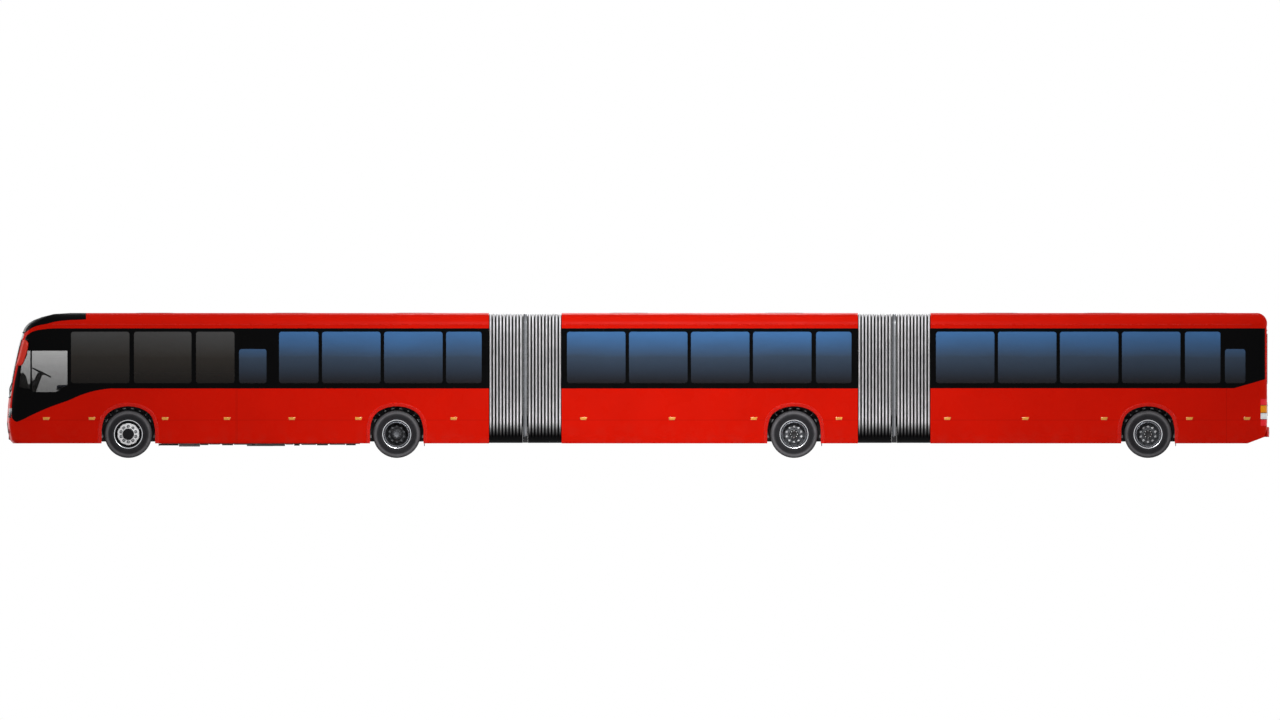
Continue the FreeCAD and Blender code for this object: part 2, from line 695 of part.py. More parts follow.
def bellows(pivot_x):
    halves = []
    for x in ((pivot_x - BELLOWS / 2 + 1.0, pivot_x - HOOP_HALF), (pivot_x + HOOP_HALF, pivot_x + BELLOWS / 2 - 1.0)):
        tube = ring_outline(BELLOWS_INSET, BELLOWS_BOTTOM, x)
        halves.append(tube.cut(ring_outline(BELLOWS_INSET + BELLOWS_WALL, BELLOWS_BOTTOM + BELLOWS_WALL, x)))
    return halves


# ---- wheels -------------------------------------------------------------------------------------------------
def spun(axle_x, side, plane, start, steps):
    """A ring turned about an axle. Its outline is drawn in (distance out from the plane, radius)."""
    def place(out, radius):
        return Vector(axle_x, side * (plane + out), TYRE_RADIUS + radius)
    return outline(place, start, steps).revolve(Vector(axle_x, 0, TYRE_RADIUS), Vector(0, 1, 0), 360)


def hub_ring(axle_x, side, plane, out, radius):
    """A plain ring between two distances out from the plane and two radii."""
    steps = [(out[1], radius[0]), (out[1], radius[1]), (out[0], radius[1])]
    return spun(axle_x, side, plane, (out[0], radius[0]), steps)


def tyre(axle_x, side, plane):
    half = TYRE_WIDTH / 2
    wall = TYRE_RADIUS - 122.0
    bead = half - 29.5
    steps = [
        ((-half, wall), (-half + 19.5, TYRE_RADIUS - 22.0)),
        ((-half + 26.0, TYRE_RADIUS - 6.0), (-half + 42.5, TYRE_RADIUS)),
        (half - 42.5, TYRE_RADIUS),
        ((half - 26.0, TYRE_RADIUS - 6.0), (half - 19.5, TYRE_RADIUS - 22.0)),
        ((half, wall), (bead, RIM_RADIUS)),
    ]
    return spun(axle_x, side, plane, (-bead, RIM_RADIUS), steps)


def rim(axle_x, side, plane):
    reach = TYRE_WIDTH / 2 - 29.5
    barrel = hub_ring(axle_x, side, plane, (-reach, reach), (RIM_RADIUS - RIM_THICKNESS, RIM_RADIUS))
    lips = [hub_ring(axle_x, side, plane, span, (RIM_RADIUS - 12.0, RIM_FLANGE))
            for span in ((-reach - 8.0, -reach + 2.0), (reach - 2.0, reach + 8.0))]
    return [barrel] + lips


def single_wheel(side):
    x, plane = STEER_AXLE_X, SINGLE_PLANE
    inner = RIM_RADIUS - RIM_THICKNESS
    bore = SPINDLE_RADIUS + PIN_CLEARANCE
    pieces = [tyre(x, side, plane)] + rim(x, side, plane)
    pieces += [
        hub_ring(x, side, plane, (60.0, 74.0), (100.0, inner + 2.0)),
        hub_ring(x, side, plane, (-100.0, 30.0), (bore, 205.0)),
        hub_ring(x, side, plane, (20.0, 112.0), (bore, 126.0)),
        hub_ring(x, side, plane, (110.0, 150.0), (0.0, 118.0)),
    ]
    return joined(pieces)


def twin_wheels(axle_x, side):
    plane = TWIN_PLANE
    inner = RIM_RADIUS - RIM_THICKNESS
    bore = STUB_RADIUS + PIN_CLEARANCE
    pieces = []
    for offset in (-TWIN_OFFSET, TWIN_OFFSET):
        pieces += [tyre(axle_x, side, plane + offset)] + rim(axle_x, side, plane + offset)
    pieces += [
        hub_ring(axle_x, side, plane, (-60.0, 60.0), (inner, inner + 16.0)),
        hub_ring(axle_x, side, plane, (-14.0, 14.0), (120.0, inner + 2.0)),
        hub_ring(axle_x, side, plane, (-200.0, 0.0), (bore, 205.0)),
        hub_ring(axle_x, side, plane, (-10.0, 152.0), (bore, 130.0)),
        hub_ring(axle_x, side, plane, (150.0, 190.0), (0.0, 105.0)),
    ]
    return joined(pieces)


# ---- axles --------------------------------------------------------------------------------------------------
EYE_RADIUS = 60.0
EYE_Z = (TYRE_RADIUS - 122.0, TYRE_RADIUS - 42.0)
KING_PIN_RADIUS = 25.0
FORK_GAP = 6.0
FORK_PLATE = 44.0
YOKE = (66.0, 96.0)        # the yoke plate, out from the king pin
TRACK_PIN = 12.0
TRACK_EYE = 26.0


def steer_axle():
    """The dropped front beam with its eyes, and the air springs that carry the frame on it."""
    reach = KING_PIN_Y
    beam = box((STEER_AXLE_X - 50.0, STEER_AXLE_X + 50.0), (-reach, reach), EYE_Z)
    pieces = [beam]
    for side in (LEFT, RIGHT):
        pieces.append(upright(STEER_AXLE_X, side * reach, EYE_RADIUS, EYE_Z))
        spring_y = side * (RAIL_INNER + RAIL_OUTER) / 2
        pieces.append(box((STEER_AXLE_X - 130.0, STEER_AXLE_X + 130.0),
                          sided(side, RAIL_INNER - 60.0, RAIL_OUTER + 60.0), (EYE_Z[1], EYE_Z[1] + 20.0)))
        pieces.append(upright(STEER_AXLE_X, spring_y, 100.0, (EYE_Z[1] + 20.0, RAIL_BOTTOM)))
    axle = joined(pieces)
    bore = KING_PIN_RADIUS + PIN_CLEARANCE
    return axle.cut([upright(STEER_AXLE_X, side * reach, bore, EYE_Z) for side in (LEFT, RIGHT)])


def knuckle(side):
    """Fork, king pin, spindle and the arm that reaches back to the track rod."""
    x = STEER_AXLE_X
    upper = (EYE_Z[1] + FORK_GAP, EYE_Z[1] + FORK_GAP + FORK_PLATE)
    lower = (EYE_Z[0] - FORK_GAP - FORK_PLATE, EYE_Z[0] - FORK_GAP)
    pieces = [upright(x, side * KING_PIN_Y, KING_PIN_RADIUS, (lower[0], upper[1]))]
    for z in (upper, lower):
        pieces.append(upright(x, side * KING_PIN_Y, EYE_RADIUS, z))
        pieces.append(box((x - 50.0, x + 50.0), sided(side, KING_PIN_Y, KING_PIN_Y + YOKE[1]), z))
    yoke_top = TYRE_RADIUS + SPINDLE_RADIUS + 20.0
    pieces.append(box((x - 60.0, x + 60.0), sided(side, KING_PIN_Y + YOKE[0], KING_PIN_Y + YOKE[1]),
                      (lower[0], yoke_top)))
    spindle = sided(side, KING_PIN_Y + YOKE[0], SINGLE_PLANE + 105.0)
    pieces.append(across(x, spindle, SPINDLE_RADIUS, TYRE_RADIUS))
    pieces.append(box((x, x + TRACK_ARM), sided(side, KING_PIN_Y - 25.0, KING_PIN_Y + 25.0), lower))
    pieces.append(upright(x + TRACK_ARM, side * KING_PIN_Y, 28.0, lower))
    pin_top = lower[1] + FORK_GAP + 2 * TRACK_EYE
    pieces.append(upright(x + TRACK_ARM, side * KING_PIN_Y, TRACK_PIN, (lower[0], pin_top)))
    return joined(pieces)


def track_rod():
    """The rod between the two steering arms, with an eye at each end."""
    low = EYE_Z[0] - FORK_GAP + 5.0
    z = (low, low + 2 * TRACK_EYE - 10.0)
    x = STEER_AXLE_X + TRACK_ARM
    pieces = [across(x, (-KING_PIN_Y, KING_PIN_Y), 18.0, (z[0] + z[1]) / 2)]
    pieces += [upright(x, side * KING_PIN_Y, TRACK_EYE, z) for side in (LEFT, RIGHT)]
    rod = joined(pieces)
    bore = TRACK_PIN + PIN_CLEARANCE
    return rod.cut([upright(x, side * KING_PIN_Y, bore, z) for side in (LEFT, RIGHT)])


def twin_axle(axle_x, driven):
    """A straight axle with spring seats, air springs and, when driven, its final drive."""
    drum_y = TWIN_PLANE - 206.0
    pieces = [
        across(axle_x, (-drum_y, drum_y), 75.0, TYRE_RADIUS),
        across(axle_x, (-TWIN_PLANE - 145.0, TWIN_PLANE + 145.0), STUB_RADIUS, TYRE_RADIUS),
    ]
    for side in (LEFT, RIGHT):
        spring_y = side * (RAIL_INNER + RAIL_OUTER) / 2
        seat_z = TYRE_RADIUS - 75.0
        pieces.append(box((axle_x - 330.0, axle_x + 330.0), sided(side, RAIL_INNER, RAIL_OUTER),
                          (seat_z - 40.0, seat_z + 10.0)))
        for spring_x in (axle_x - 230.0, axle_x + 230.0):
            pieces.append(upright(spring_x, spring_y, 95.0, (seat_z + 10.0, RAIL_BOTTOM)))
    if driven:
        pieces.append(across(axle_x, (-150.0, 150.0), 200.0, TYRE_RADIUS))
        pieces.append(Part.makeCylinder(90.0, 340.0, Vector(axle_x - 340.0, 0, TYRE_RADIUS), Vector(1, 0, 0)))
    return joined(pieces)


# ---- driveline and what hangs from the frame ----------------------------------------------------------------
ENGINE_X = (STEER_AXLE_X + 1700.0, STEER_AXLE_X + 3300.0)
ENGINE_Z = (330.0, 770.0)


def powertrain():
    """The flat engine as one plain block, the gearbox behind it and the shaft to the driven axle."""
    gearbox_end = ENGINE_X[1] + 620.0
    shaft_end = DRIVE_AXLE_X - 340.0
    block = box(ENGINE_X, (-RAIL_INNER, RAIL_INNER), ENGINE_Z)
    sump = box((ENGINE_X[0] + 900.0, ENGINE_X[1] - 120.0), (-240.0, 240.0), (ENGINE_Z[0] - 70.0, ENGINE_Z[0]))
    gearbox = box((ENGINE_X[1], gearbox_end), (-0.6 * RAIL_INNER, 0.6 * RAIL_INNER), (370.0, 700.0))
    shaft = Part.makeCylinder(55.0, shaft_end - gearbox_end, Vector(gearbox_end, 0, TYRE_RADIUS), Vector(1, 0, 0))
    return joined([block, sump, gearbox, shaft])


UNDERFLOOR = (             # (side, start behind the steered axle, length, gap to the rail, to the side, bottom)
    (RIGHT, 2000.0, 1500.0, 60.0, 120.0, 390.0),       # fuel tank
    (LEFT, 1110.0, 461.0, 190.0, 90.0, 250.0),         # battery box
    (LEFT, 2821.0, 614.0, 130.0, 195.0, 262.0),        # silencer
)
HANGER = 60.0


def underfloor_boxes():
    """Tank and boxes beside the rails, each on two hangers from its rail."""
    top = FLOOR_BOTTOM - OUTRIGGER_HEIGHT
    boxes = []
    for side, start, length, rail_gap, side_gap, bottom in UNDERFLOOR:
        x = (STEER_AXLE_X + start, STEER_AXLE_X + start + length)
        inner = RAIL_OUTER + rail_gap
        body = box(x, sided(side, inner, HALF - side_gap), (bottom, top))
        hangers = [box(span, sided(side, RAIL_OUTER, inner), (top - HANGER, top))
                   for span in ((x[0] + HANGER, x[0] + 2 * HANGER), (x[1] - 2 * HANGER, x[1] - HANGER))]
        boxes.append(joined([body] + hangers))
    return boxes


# ---- cab ----------------------------------------------------------------------------------------------------
CAB_FLOOR = FLOOR_TOP + 170.0
WHEEL_CENTRE = Vector(NOSE_X + 758.0, -640.0, 1875.0)
COLUMN_TILT = math.radians(27.8)       # column from upright, leaning forward at its foot
STEERING_RADIUS = 215.0


def column_axis():
    """Unit vector up the steering column."""
    return Vector(math.sin(COLUMN_TILT), 0, math.cos(COLUMN_TILT))


def steering_wheel():
    axis = column_axis()
    rim_ring = Part.makeTorus(STEERING_RADIUS, 15.0, WHEEL_CENTRE, axis)
    hub = Part.makeCylinder(42.0, 50.0, WHEEL_CENTRE - axis * 60.0, axis)
    sideways = Vector(0, 1, 0)
    forward = axis.cross(sideways)
    pieces = [rim_ring, hub]
    for turn in (90.0, 210.0, 330.0):
        angle = math.radians(turn)
        way = sideways * math.cos(angle) + forward * math.sin(angle)
        foot = WHEEL_CENTRE - axis * 30.0 + way * 20.0
        tip = WHEEL_CENTRE + way * STEERING_RADIUS
        pieces.append(Part.makeCylinder(11.0, (tip - foot).Length, foot, tip - foot))
    return joined(pieces)


def cockpit():
    """Raised floor, dash, instrument hood and the lower column with its cover."""
    axis = column_axis()
    platform = box((NOSE_X + 330.0, NOSE_X + 1750.0), (-INSIDE, -170.0), (FLOOR_TOP, CAB_FLOOR))
    dash_steps = [
        (NOSE_X + 640.0, FLOOR_TOP),
        (NOSE_X + 640.0, 1330.0),
        (NOSE_X + 560.0, 1480.0),
        (NOSE_X + 340.0, 1540.0),
    ]
    dash = lengthwise((NOSE_X + 250.0, FLOOR_TOP), dash_steps, (-1000.0, 1000.0))
    hood = box((NOSE_X + 400.0, NOSE_X + 560.0), (-900.0, -380.0), (1480.0, 1620.0))
    foot = WHEEL_CENTRE - axis * 480.0
    column = Part.makeCylinder(38.0, 415.0, foot, axis)
    back_wall = box((NOSE_X + 1750.0, NOSE_X + 1790.0), (-INSIDE, -170.0), (FLOOR_TOP, 2000.0))
    return joined([platform, dash, hood, column, back_wall])


# ---- mirrors ------------------------------------------------------------------------------------------------
def mirror(side):
    """A housing that hangs outside the front corner from a short arm at its top."""
    x = NOSE_X
    steps = [
        (x + 408.0, 2509.0),
        ((x + 340.0, 2250.0), (x + 283.0, 2105.0)),
        (x + 183.0, 2017.0),
        ((x + 225.0, 2330.0), (x + 326.0, 2588.0)),
    ]
    housing = lengthwise((x + 376.0, 2573.0), steps, sided(side, HALF + 20.0, HALF + 230.0))
    arm = box((x + 330.0, x + 640.0), sided(side, HALF - 150.0, HALF + 120.0), (2500.0, 2550.0))
    return housing.fuse(arm.cut(front_form(0.0)))


# ---- doors --------------------------------------------------------------------------------------------------
DOOR_PLANE = HALF - DOOR_RECESS - DOOR_THICKNESS / 2
HINGE_INSET = DOOR_THICKNESS / 2 + DOOR_GAP


def door_leaf(x0, first):
    """One leaf with a round hinge edge on the jamb side and a tall window."""
    x1 = x0 + DOOR_WIDTH
    hinge_x = x0 + HINGE_INSET if first else x1 - HINGE_INSET
    middle = (x0 + x1) / 2
    free_x = middle - DOOR_GAP / 2 if first else middle + DOOR_GAP / 2
    z = (FLOOR_TOP + DOOR_GAP, DOOR_TOP - DOOR_GAP)
    y = (DOOR_PLANE - DOOR_THICKNESS / 2, DOOR_PLANE + DOOR_THICKNESS / 2)
    span = (min(hinge_x, free_x), max(hinge_x, free_x))
    leaf = box(span, y, z).fuse(upright(hinge_x, DOOR_PLANE, DOOR_THICKNESS / 2, z))
    start, steps = rounded((span[0] + 70.0, span[1] - 60.0), (z[0] + 260.0, z[1] - 90.0), 60.0)
    return leaf.cut(lengthwise(start, steps, (y[0] - 1.0, y[1] + 1.0)))


# ---- seats --------------------------------------------------------------------------------------------------
def seat_pair(x, side, floor_z, width):
    """A double seat that faces the nose, on one pedestal, against a side panel."""
    outer = INSIDE - 15.0
    y = sided(side, outer - width, outer)
    pedestal = box((x + 120.0, x + 320.0), sided(side, outer - width * 0.62, outer - width * 0.38),
                   (floor_z, floor_z + SEAT_HEIGHT - 90.0))
    cushion = box((x, x + 440.0), y, (floor_z + SEAT_HEIGHT - 90.0, floor_z + SEAT_HEIGHT))
    back_steps = [
        (x + 440.0, floor_z + SEAT_HEIGHT - 90.0),
        (x + 560.0, floor_z + BACK_HEIGHT + 60.0),
        (x + 500.0, floor_z + BACK_HEIGHT + 60.0),
    ]
    back = lengthwise((x + 370.0, floor_z + SEAT_HEIGHT - 90.0), back_steps, y)
    return joined([pedestal, cushion, back])


def free_of(x, spans):
    """Whether a seat that starts at x stands clear of every (from, to) span."""
    return all(x + 570.0 < low or x > high for low, high in spans)


def seats(car, x, extra=()):
    """Rows of double seats on both sides, left out at the doorways and over the wheel housings."""
    housings = [(a - housing_size(a)[0] - 40.0, a + housing_size(a)[0] + 40.0) for a in AXLES[car]]
    doorways = [(d - 40.0, d + DOOR_WIDTH + 40.0) for d in DOORS[car]]
    rows = []
    count = int((x[1] - x[0]) // SEAT_PITCH)
    for n in range(count):
        place = x[0] + n * SEAT_PITCH
        if free_of(place, housings):
            rows.append(seat_pair(place, LEFT, FLOOR_TOP, SEAT_WIDTH))
            if free_of(place, doorways):
                rows.append(seat_pair(place, RIGHT, FLOOR_TOP, SEAT_WIDTH))
    return rows + list(extra)


def driver_seat():
    x = NOSE_X + 1040.0
    y = (WHEEL_CENTRE.y - 240.0, WHEEL_CENTRE.y + 240.0)
    pedestal = box((x + 110.0, x + 380.0), (y[0] + 90.0, y[1] - 90.0), (CAB_FLOOR, CAB_FLOOR + 340.0))
    cushion = box((x, x + 490.0), y, (CAB_FLOOR + 340.0, CAB_FLOOR + 460.0))
    back_steps = [
        (x + 490.0, CAB_FLOOR + 340.0),
        (x + 600.0, CAB_FLOOR + 1080.0),
        (x + 520.0, CAB_FLOOR + 1080.0),
    ]
    back = lengthwise((x + 380.0, CAB_FLOOR + 340.0), back_steps, y)
    return joined([pedestal, cushion, back])


# ---- the whole bus ------------------------------------------------------------------------------------------
os.makedirs("parts", exist_ok=True)

front_hollow = front_form(WALL)
front = front_form(0.0).cut(front_hollow)
save("front_left_side", side_panel(front, "front", LEFT))
save("front_right_side", side_panel(front, "front", RIGHT))
save("front_roof", roof(front, (NOSE_X, FRONT_END_X)))
save("nose", nose_shell(front))
save("windscreen", Part.makeCompound(nose_glass()))
save("headlamps", Part.makeCompound(headlamps(front)))
save("front_windows", Part.makeCompound(side_glass("front")))
save("front_floor", floor("front", (NOSE_X + 60.0, FRONT_PORTAL_X[0])).common(front_hollow))
save("front_underframe", front_underframe())
save("front_seats", Part.makeCompound(seats("front", (NOSE_X + 1840.0, FRONT_PORTAL_X[0] - 20.0), [driver_seat()])))
save("powertrain", powertrain())
save("underfloor_boxes", Part.makeCompound(underfloor_boxes()))
save("front_axle", steer_axle())
save("drive_axle", twin_axle(DRIVE_AXLE_X, True))
save("cockpit", cockpit().common(front_hollow))
save("steering_wheel", steering_wheel())
save("mirrors", Part.makeCompound([mirror(LEFT), mirror(RIGHT)]))
save("track_rod", track_rod())

middle = middle_form(0.0).cut(middle_form(WALL))
save("middle_left_side", side_panel(middle, "middle", LEFT))
save("middle_right_side", side_panel(middle, "middle", RIGHT))
save("middle_roof", roof(middle, (MIDDLE_START_X, MIDDLE_END_X)))
save("middle_windows", Part.makeCompound(side_glass("middle")))
save("middle_floor", floor("middle", (MIDDLE_PORTALS_X[0][1], MIDDLE_PORTALS_X[1][0])))
save("middle_underframe", middle_underframe())
save("middle_seats", Part.makeCompound(seats("middle", (MIDDLE_PORTALS_X[0][1] + 40.0, MIDDLE_PORTALS_X[1][0] - 20.0))))
save("middle_axle", twin_axle(MIDDLE_AXLE_X, False))

rear_hollow = rear_form(WALL)
rear = rear_form(0.0).cut(rear_hollow)
save("rear_left_side", side_panel(rear, "rear", LEFT))
save("rear_right_side", side_panel(rear, "rear", RIGHT))
save("rear_roof", roof(rear, (REAR_START_X, REAR_FACE_X)))
save("rear_panel", rear_panel(rear))
save("tail_lamps", Part.makeCompound([rear.common(tail_lamp_block(side)) for side in (LEFT, RIGHT)]))
rear_pane = rear_glass((REAR_FACE_X - PANE_RECESS - PANE_THICKNESS, REAR_FACE_X - PANE_RECESS))
save("rear_windows", Part.makeCompound(side_glass("rear") + [rear_pane]))
save("rear_floor", floor("rear", (REAR_PORTAL_X[1], REAR_FACE_X - WALL)).common(rear_hollow))
save("rear_underframe", rear_underframe())
save("rear_seats", Part.makeCompound(seats("rear", (REAR_PORTAL_X[1] + 40.0, REAR_FACE_X - WALL - 20.0))))
save("rear_axle", twin_axle(REAR_AXLE_X, False))

for name, pivot_x in (("front", FRONT_PIVOT_X), ("rear", REAR_PIVOT_X)):
    save(name + "_joint_hoop", hoop(pivot_x))
    save(name + "_bellows", Part.makeCompound(bellows(pivot_x)))

for side_name, side in (("left", LEFT), ("right", RIGHT)):
    save(side_name + "_knuckle", knuckle(side))
    save("front_%s_wheel" % side_name, single_wheel(side))
    for axle_name, axle_x in (("drive", DRIVE_AXLE_X), ("middle", MIDDLE_AXLE_X), ("rear", REAR_AXLE_X)):
        save("%s_%s_wheels" % (axle_name, side_name), twin_wheels(axle_x, side))

for door_name, door_x in (("first", FIRST_DOOR_X), ("second", SECOND_DOOR_X),
                          ("third", THIRD_DOOR_X), ("fourth", FOURTH_DOOR_X)):
    save(door_name + "_door_fore_leaf", door_leaf(door_x, True))
    save(door_name + "_door_aft_leaf", door_leaf(door_x, False))
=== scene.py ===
import json
import math

import bmesh
import bpy
import numpy as np
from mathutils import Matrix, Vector

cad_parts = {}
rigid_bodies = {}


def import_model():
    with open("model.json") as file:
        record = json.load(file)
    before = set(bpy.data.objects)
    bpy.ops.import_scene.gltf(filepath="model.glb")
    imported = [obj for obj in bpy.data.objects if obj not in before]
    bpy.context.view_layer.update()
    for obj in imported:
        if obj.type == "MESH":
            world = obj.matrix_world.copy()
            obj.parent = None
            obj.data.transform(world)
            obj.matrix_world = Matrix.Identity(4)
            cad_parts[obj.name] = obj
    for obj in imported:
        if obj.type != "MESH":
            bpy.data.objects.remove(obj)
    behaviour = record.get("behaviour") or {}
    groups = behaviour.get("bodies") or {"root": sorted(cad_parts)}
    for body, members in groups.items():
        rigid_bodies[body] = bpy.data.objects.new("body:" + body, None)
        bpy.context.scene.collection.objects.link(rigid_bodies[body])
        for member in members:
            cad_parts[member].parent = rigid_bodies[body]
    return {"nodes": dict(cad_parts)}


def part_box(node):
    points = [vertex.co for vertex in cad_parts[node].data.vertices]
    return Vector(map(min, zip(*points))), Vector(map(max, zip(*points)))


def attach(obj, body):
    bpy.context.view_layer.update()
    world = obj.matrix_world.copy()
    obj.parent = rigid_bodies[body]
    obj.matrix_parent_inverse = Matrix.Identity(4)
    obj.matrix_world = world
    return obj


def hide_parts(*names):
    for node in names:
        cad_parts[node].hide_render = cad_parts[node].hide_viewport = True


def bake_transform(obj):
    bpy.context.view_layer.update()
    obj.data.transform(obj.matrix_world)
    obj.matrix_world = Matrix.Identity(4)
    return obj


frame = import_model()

NODES = frame["nodes"]
for thing in list(bpy.data.objects):
    if thing.name in ("Cube", "Camera", "Light"):
        bpy.data.objects.remove(thing)
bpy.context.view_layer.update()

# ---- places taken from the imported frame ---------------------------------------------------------
side_low, side_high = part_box("front_left_side")
HALF, SKIRT, GUTTER, FRONT_END_X = -side_low.y, side_low.z, side_high.z, side_high.x
MIDDLE_START_X, MIDDLE_END_X = (corner.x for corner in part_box("middle_left_side"))
REAR_START_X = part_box("rear_left_side")[0].x
ROOF_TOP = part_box("middle_roof")[1].z
FLOOR_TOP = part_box("front_floor")[0].z + 0.060
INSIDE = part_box("front_floor")[1].y
SIDES = (("left", -1), ("right", 1))
CARS = ("front", "middle", "rear")
JOINTS = (                 # (name, from, to) of the gaps between the cars
    ("front", "front_car", "middle_car", FRONT_END_X, MIDDLE_START_X),
    ("rear", "middle_car", "rear_car", MIDDLE_END_X, REAR_START_X),
)
AXLES = []                 # (name, x, car)
for label, car, node in (("steer", "front", "front_left_wheel"), ("drive", "front", "drive_left_wheels"),
                         ("middle", "middle", "middle_left_wheels"), ("rear", "rear", "rear_left_wheels")):
    low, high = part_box(node)
    AXLES.append((label, (low + high).x / 2, car))
low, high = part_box("front_left_wheel")
TYRE_RADIUS = (high.z - low.z) / 2
WHEEL_Z = TYRE_RADIUS      # the tyres stand on the ground


# ---- node building ------------------------------------------------------------------------------
class Nodes:
    """A node tree, with short ways to add the nodes used here."""

    def __init__(self, tree):
        self.tree = tree

    def join(self, source, target):
        """Links a socket to a target, or gives the target a number or a colour."""
        if isinstance(source, bpy.types.NodeSocket):
            self.tree.links.new(source, target)
        else:
            target.default_value = (*source, 1.0) if target.type == "RGBA" else source

    def add(self, kind, **values):
        """A new node, with values for its inputs by their names."""
        node = self.tree.nodes.new("ShaderNode" + kind)
        for name, value in values.items():
            self.join(value, node.inputs[name.replace("_", " ")])
        return node

    def math(self, operation, a, b=0.0, c=0.0):
        node = self.add("Math")
        node.operation = operation
        for value, socket in zip((a, b, c), node.inputs):
            self.join(value, socket)
        return node.outputs[0]

    def times(self, a, b):
        return self.math("MULTIPLY", a, b)

    def ramp(self, value, low, high, out_low=0.0, out_high=1.0):
        """out_low at low and before, out_high at high and after."""
        return self.add("MapRange", Value=value, From_Min=low, From_Max=high, To_Min=out_low,
                        To_Max=out_high).outputs[0]

    def all_of(self, first, *others):
        for factor in others:
            first = self.times(first, factor)
        return first

    def any_of(self, first, *others):
        for factor in others:
            first = self.math("MAXIMUM", first, factor)
        return first

    def seen(self):
        """1 where the camera looks, straight on, in a reflection or through glass."""
        rays = self.add("LightPath").outputs
        return self.any_of(*[rays[f"Is {kind} Ray"] for kind in ("Camera", "Glossy", "Transmission")])


class Graph(Nodes):
    """A material's node tree about its Principled shader."""

    def __init__(self, name):
        self.material = bpy.data.materials.new(name)
        self.material.use_nodes = True
        super().__init__(self.material.node_tree)
        self.shader = self.tree.nodes["Principled BSDF"]
        self.place = self.add("TexCoord").outputs["Object"]
        split = self.add("SeparateXYZ")
        self.join(self.place, split.inputs[0])
        self.x, self.y, self.z = split.outputs

    def noise(self, scale, detail=3.0, stretch=None):
        place = self.place
        if stretch:
            place = self.add("Mapping", Vector=place, Scale=stretch).outputs[0]
        return self.add("TexNoise", Vector=place, Scale=scale, Detail=detail).outputs["Fac"]

    def patches(self, scale, detail, *limits):
        """Noise stretched between limits, as for ramp."""
        return self.ramp(self.noise(scale, detail), *limits)

    def wave(self, along, pitch):
        return self.math("SINE", self.times(along, pitch))

    def mix(self, factor, a, b):
        """Colour a where factor is 0 and b where it is 1."""
        node = self.add("Mix")
        node.data_type = "RGBA"
        for value, number in ((factor, 0), (a, 6), (b, 7)):
            self.join(value, node.inputs[number])
        return node.outputs[2]

    def curve(self, along, pairs):
        """The broken line through (along, value) pairs."""
        low, high = np.min(pairs, 0), np.max(pairs, 0)
        spots = (np.array(pairs) - low) / (high - low)
        node = self.add("FloatCurve", Value=self.ramp(along, low[0], high[0]))
        line = node.mapping.curves[0]
        line.points[0].location, line.points[1].location = spots[0], spots[-1]
        for spot in spots[1:-1]:
            line.points.new(*spot)
        for point in line.points:
            point.handle_type = "VECTOR"
        node.mapping.update()
        return self.ramp(node.outputs[0], 0.0, 1.0, low[1], high[1])

    def band(self, value, low, high, soft=0.002):
        """1 between low and high."""
        return self.all_of(self.ramp(value, low - soft, low + soft), self.ramp(value, high + soft, high - soft))

    def attribute(self, name):
        node = self.add("Attribute")
        node.attribute_name = name
        return node.outputs["Fac"]

    def bump(self, height, strength, distance=0.002):
        node = self.add("Bump", Height=height, Strength=strength, Distance=distance)
        self.join(node.outputs[0], self.shader.inputs["Normal"])

    def finish(self, colour, rough, **constants):
        """The material, with its colour, its roughness and the shader's other values."""
        for name, value in {"Base_Color": colour, "Roughness": rough, **constants}.items():
            self.join(value, self.shader.inputs[name.replace("_", " ")])
        return self.material


def lin(r, g, b):
    """A colour written as on screen, 0 to 255, in the linear values the shader takes."""
    def one(v):
        v /= 255.0
        return v / 12.92 if v <= 0.04045 else ((v + 0.055) / 1.055) ** 2.4
    return (one(r), one(g), one(b))


def scaled(colour, share):
    return tuple(min(c * share, 1.0) for c in colour)


ROAD_DUST = lin(122, 110, 96)


def plain(name, colour, rough=0.5, metal=0.0, specular=0.5, vary=0.12, patch=2.0, grain=60.0, bump=0.15, dust=0.0):
    """A material with broad colour patches, fine grain, uneven gloss and, low down, road dust."""
    g = Graph(name)
    tint = g.mix(g.patches(patch, 4.0, 0.35, 0.65), scaled(colour, 1.0 - vary), scaled(colour, 1.0 + vary))
    if dust:
        low_down = g.times(g.ramp(g.z, 1.1, 0.2), g.patches(3.5, 6.0, 0.35, 0.75))
        tint = g.mix(g.times(low_down, dust), tint, ROAD_DUST)
    g.bump(g.noise(grain, 5.0), bump)
    return g.finish(tint, g.patches(patch * 4.0, 5.0, 0.3, 0.7, rough - 0.07, rough + 0.07),
                    Metallic=metal, Specular_IOR_Level=specular)


# ---- body paint ---------------------------------------------------------------------------------
RED = (0.660, 0.0075, 0.0012)
BLACK = (0.0012, 0.0012, 0.0014)
SEAM_RED, HEM_SHADE_RED, SPRAY = (0.10, 0.001, 0.001), (0.20, 0.003, 0.001), lin(120, 84, 70)
BAND_Z = (1.524, 2.844)
MASK_LOWER = (             # (x, z) of the black side mask's lower edge
    (-13.760, 0.905), (-13.720, 0.866), (-13.680, 0.818), (-13.627, 0.794), (-13.564, 0.811), (-13.268, 0.954),
    (-12.917, 1.107), (-12.443, 1.281), (-12.237, 1.372), (-11.952, 1.462), (-11.700, 1.508), (-11.560, 1.524),
)
MASK_UPPER = (             # (x, z) of its upper edge
    (-13.450, 2.588), (-13.428, 2.653), (-13.362, 2.719), (-13.268, 2.775), (-13.114, 2.812), (-12.917, 2.838),
    (-12.700, 2.844),
)
MASK_FRONT = (             # (z, x) of its front edge, behind the red pillar
    (0.860, -13.728), (1.031, -13.738), (1.260, -13.728), (1.480, -13.700), (1.700, -13.664), (1.920, -13.616),
    (2.130, -13.566), (2.350, -13.512), (2.588, -13.450), (2.653, -13.428), (2.844, -13.300),
)
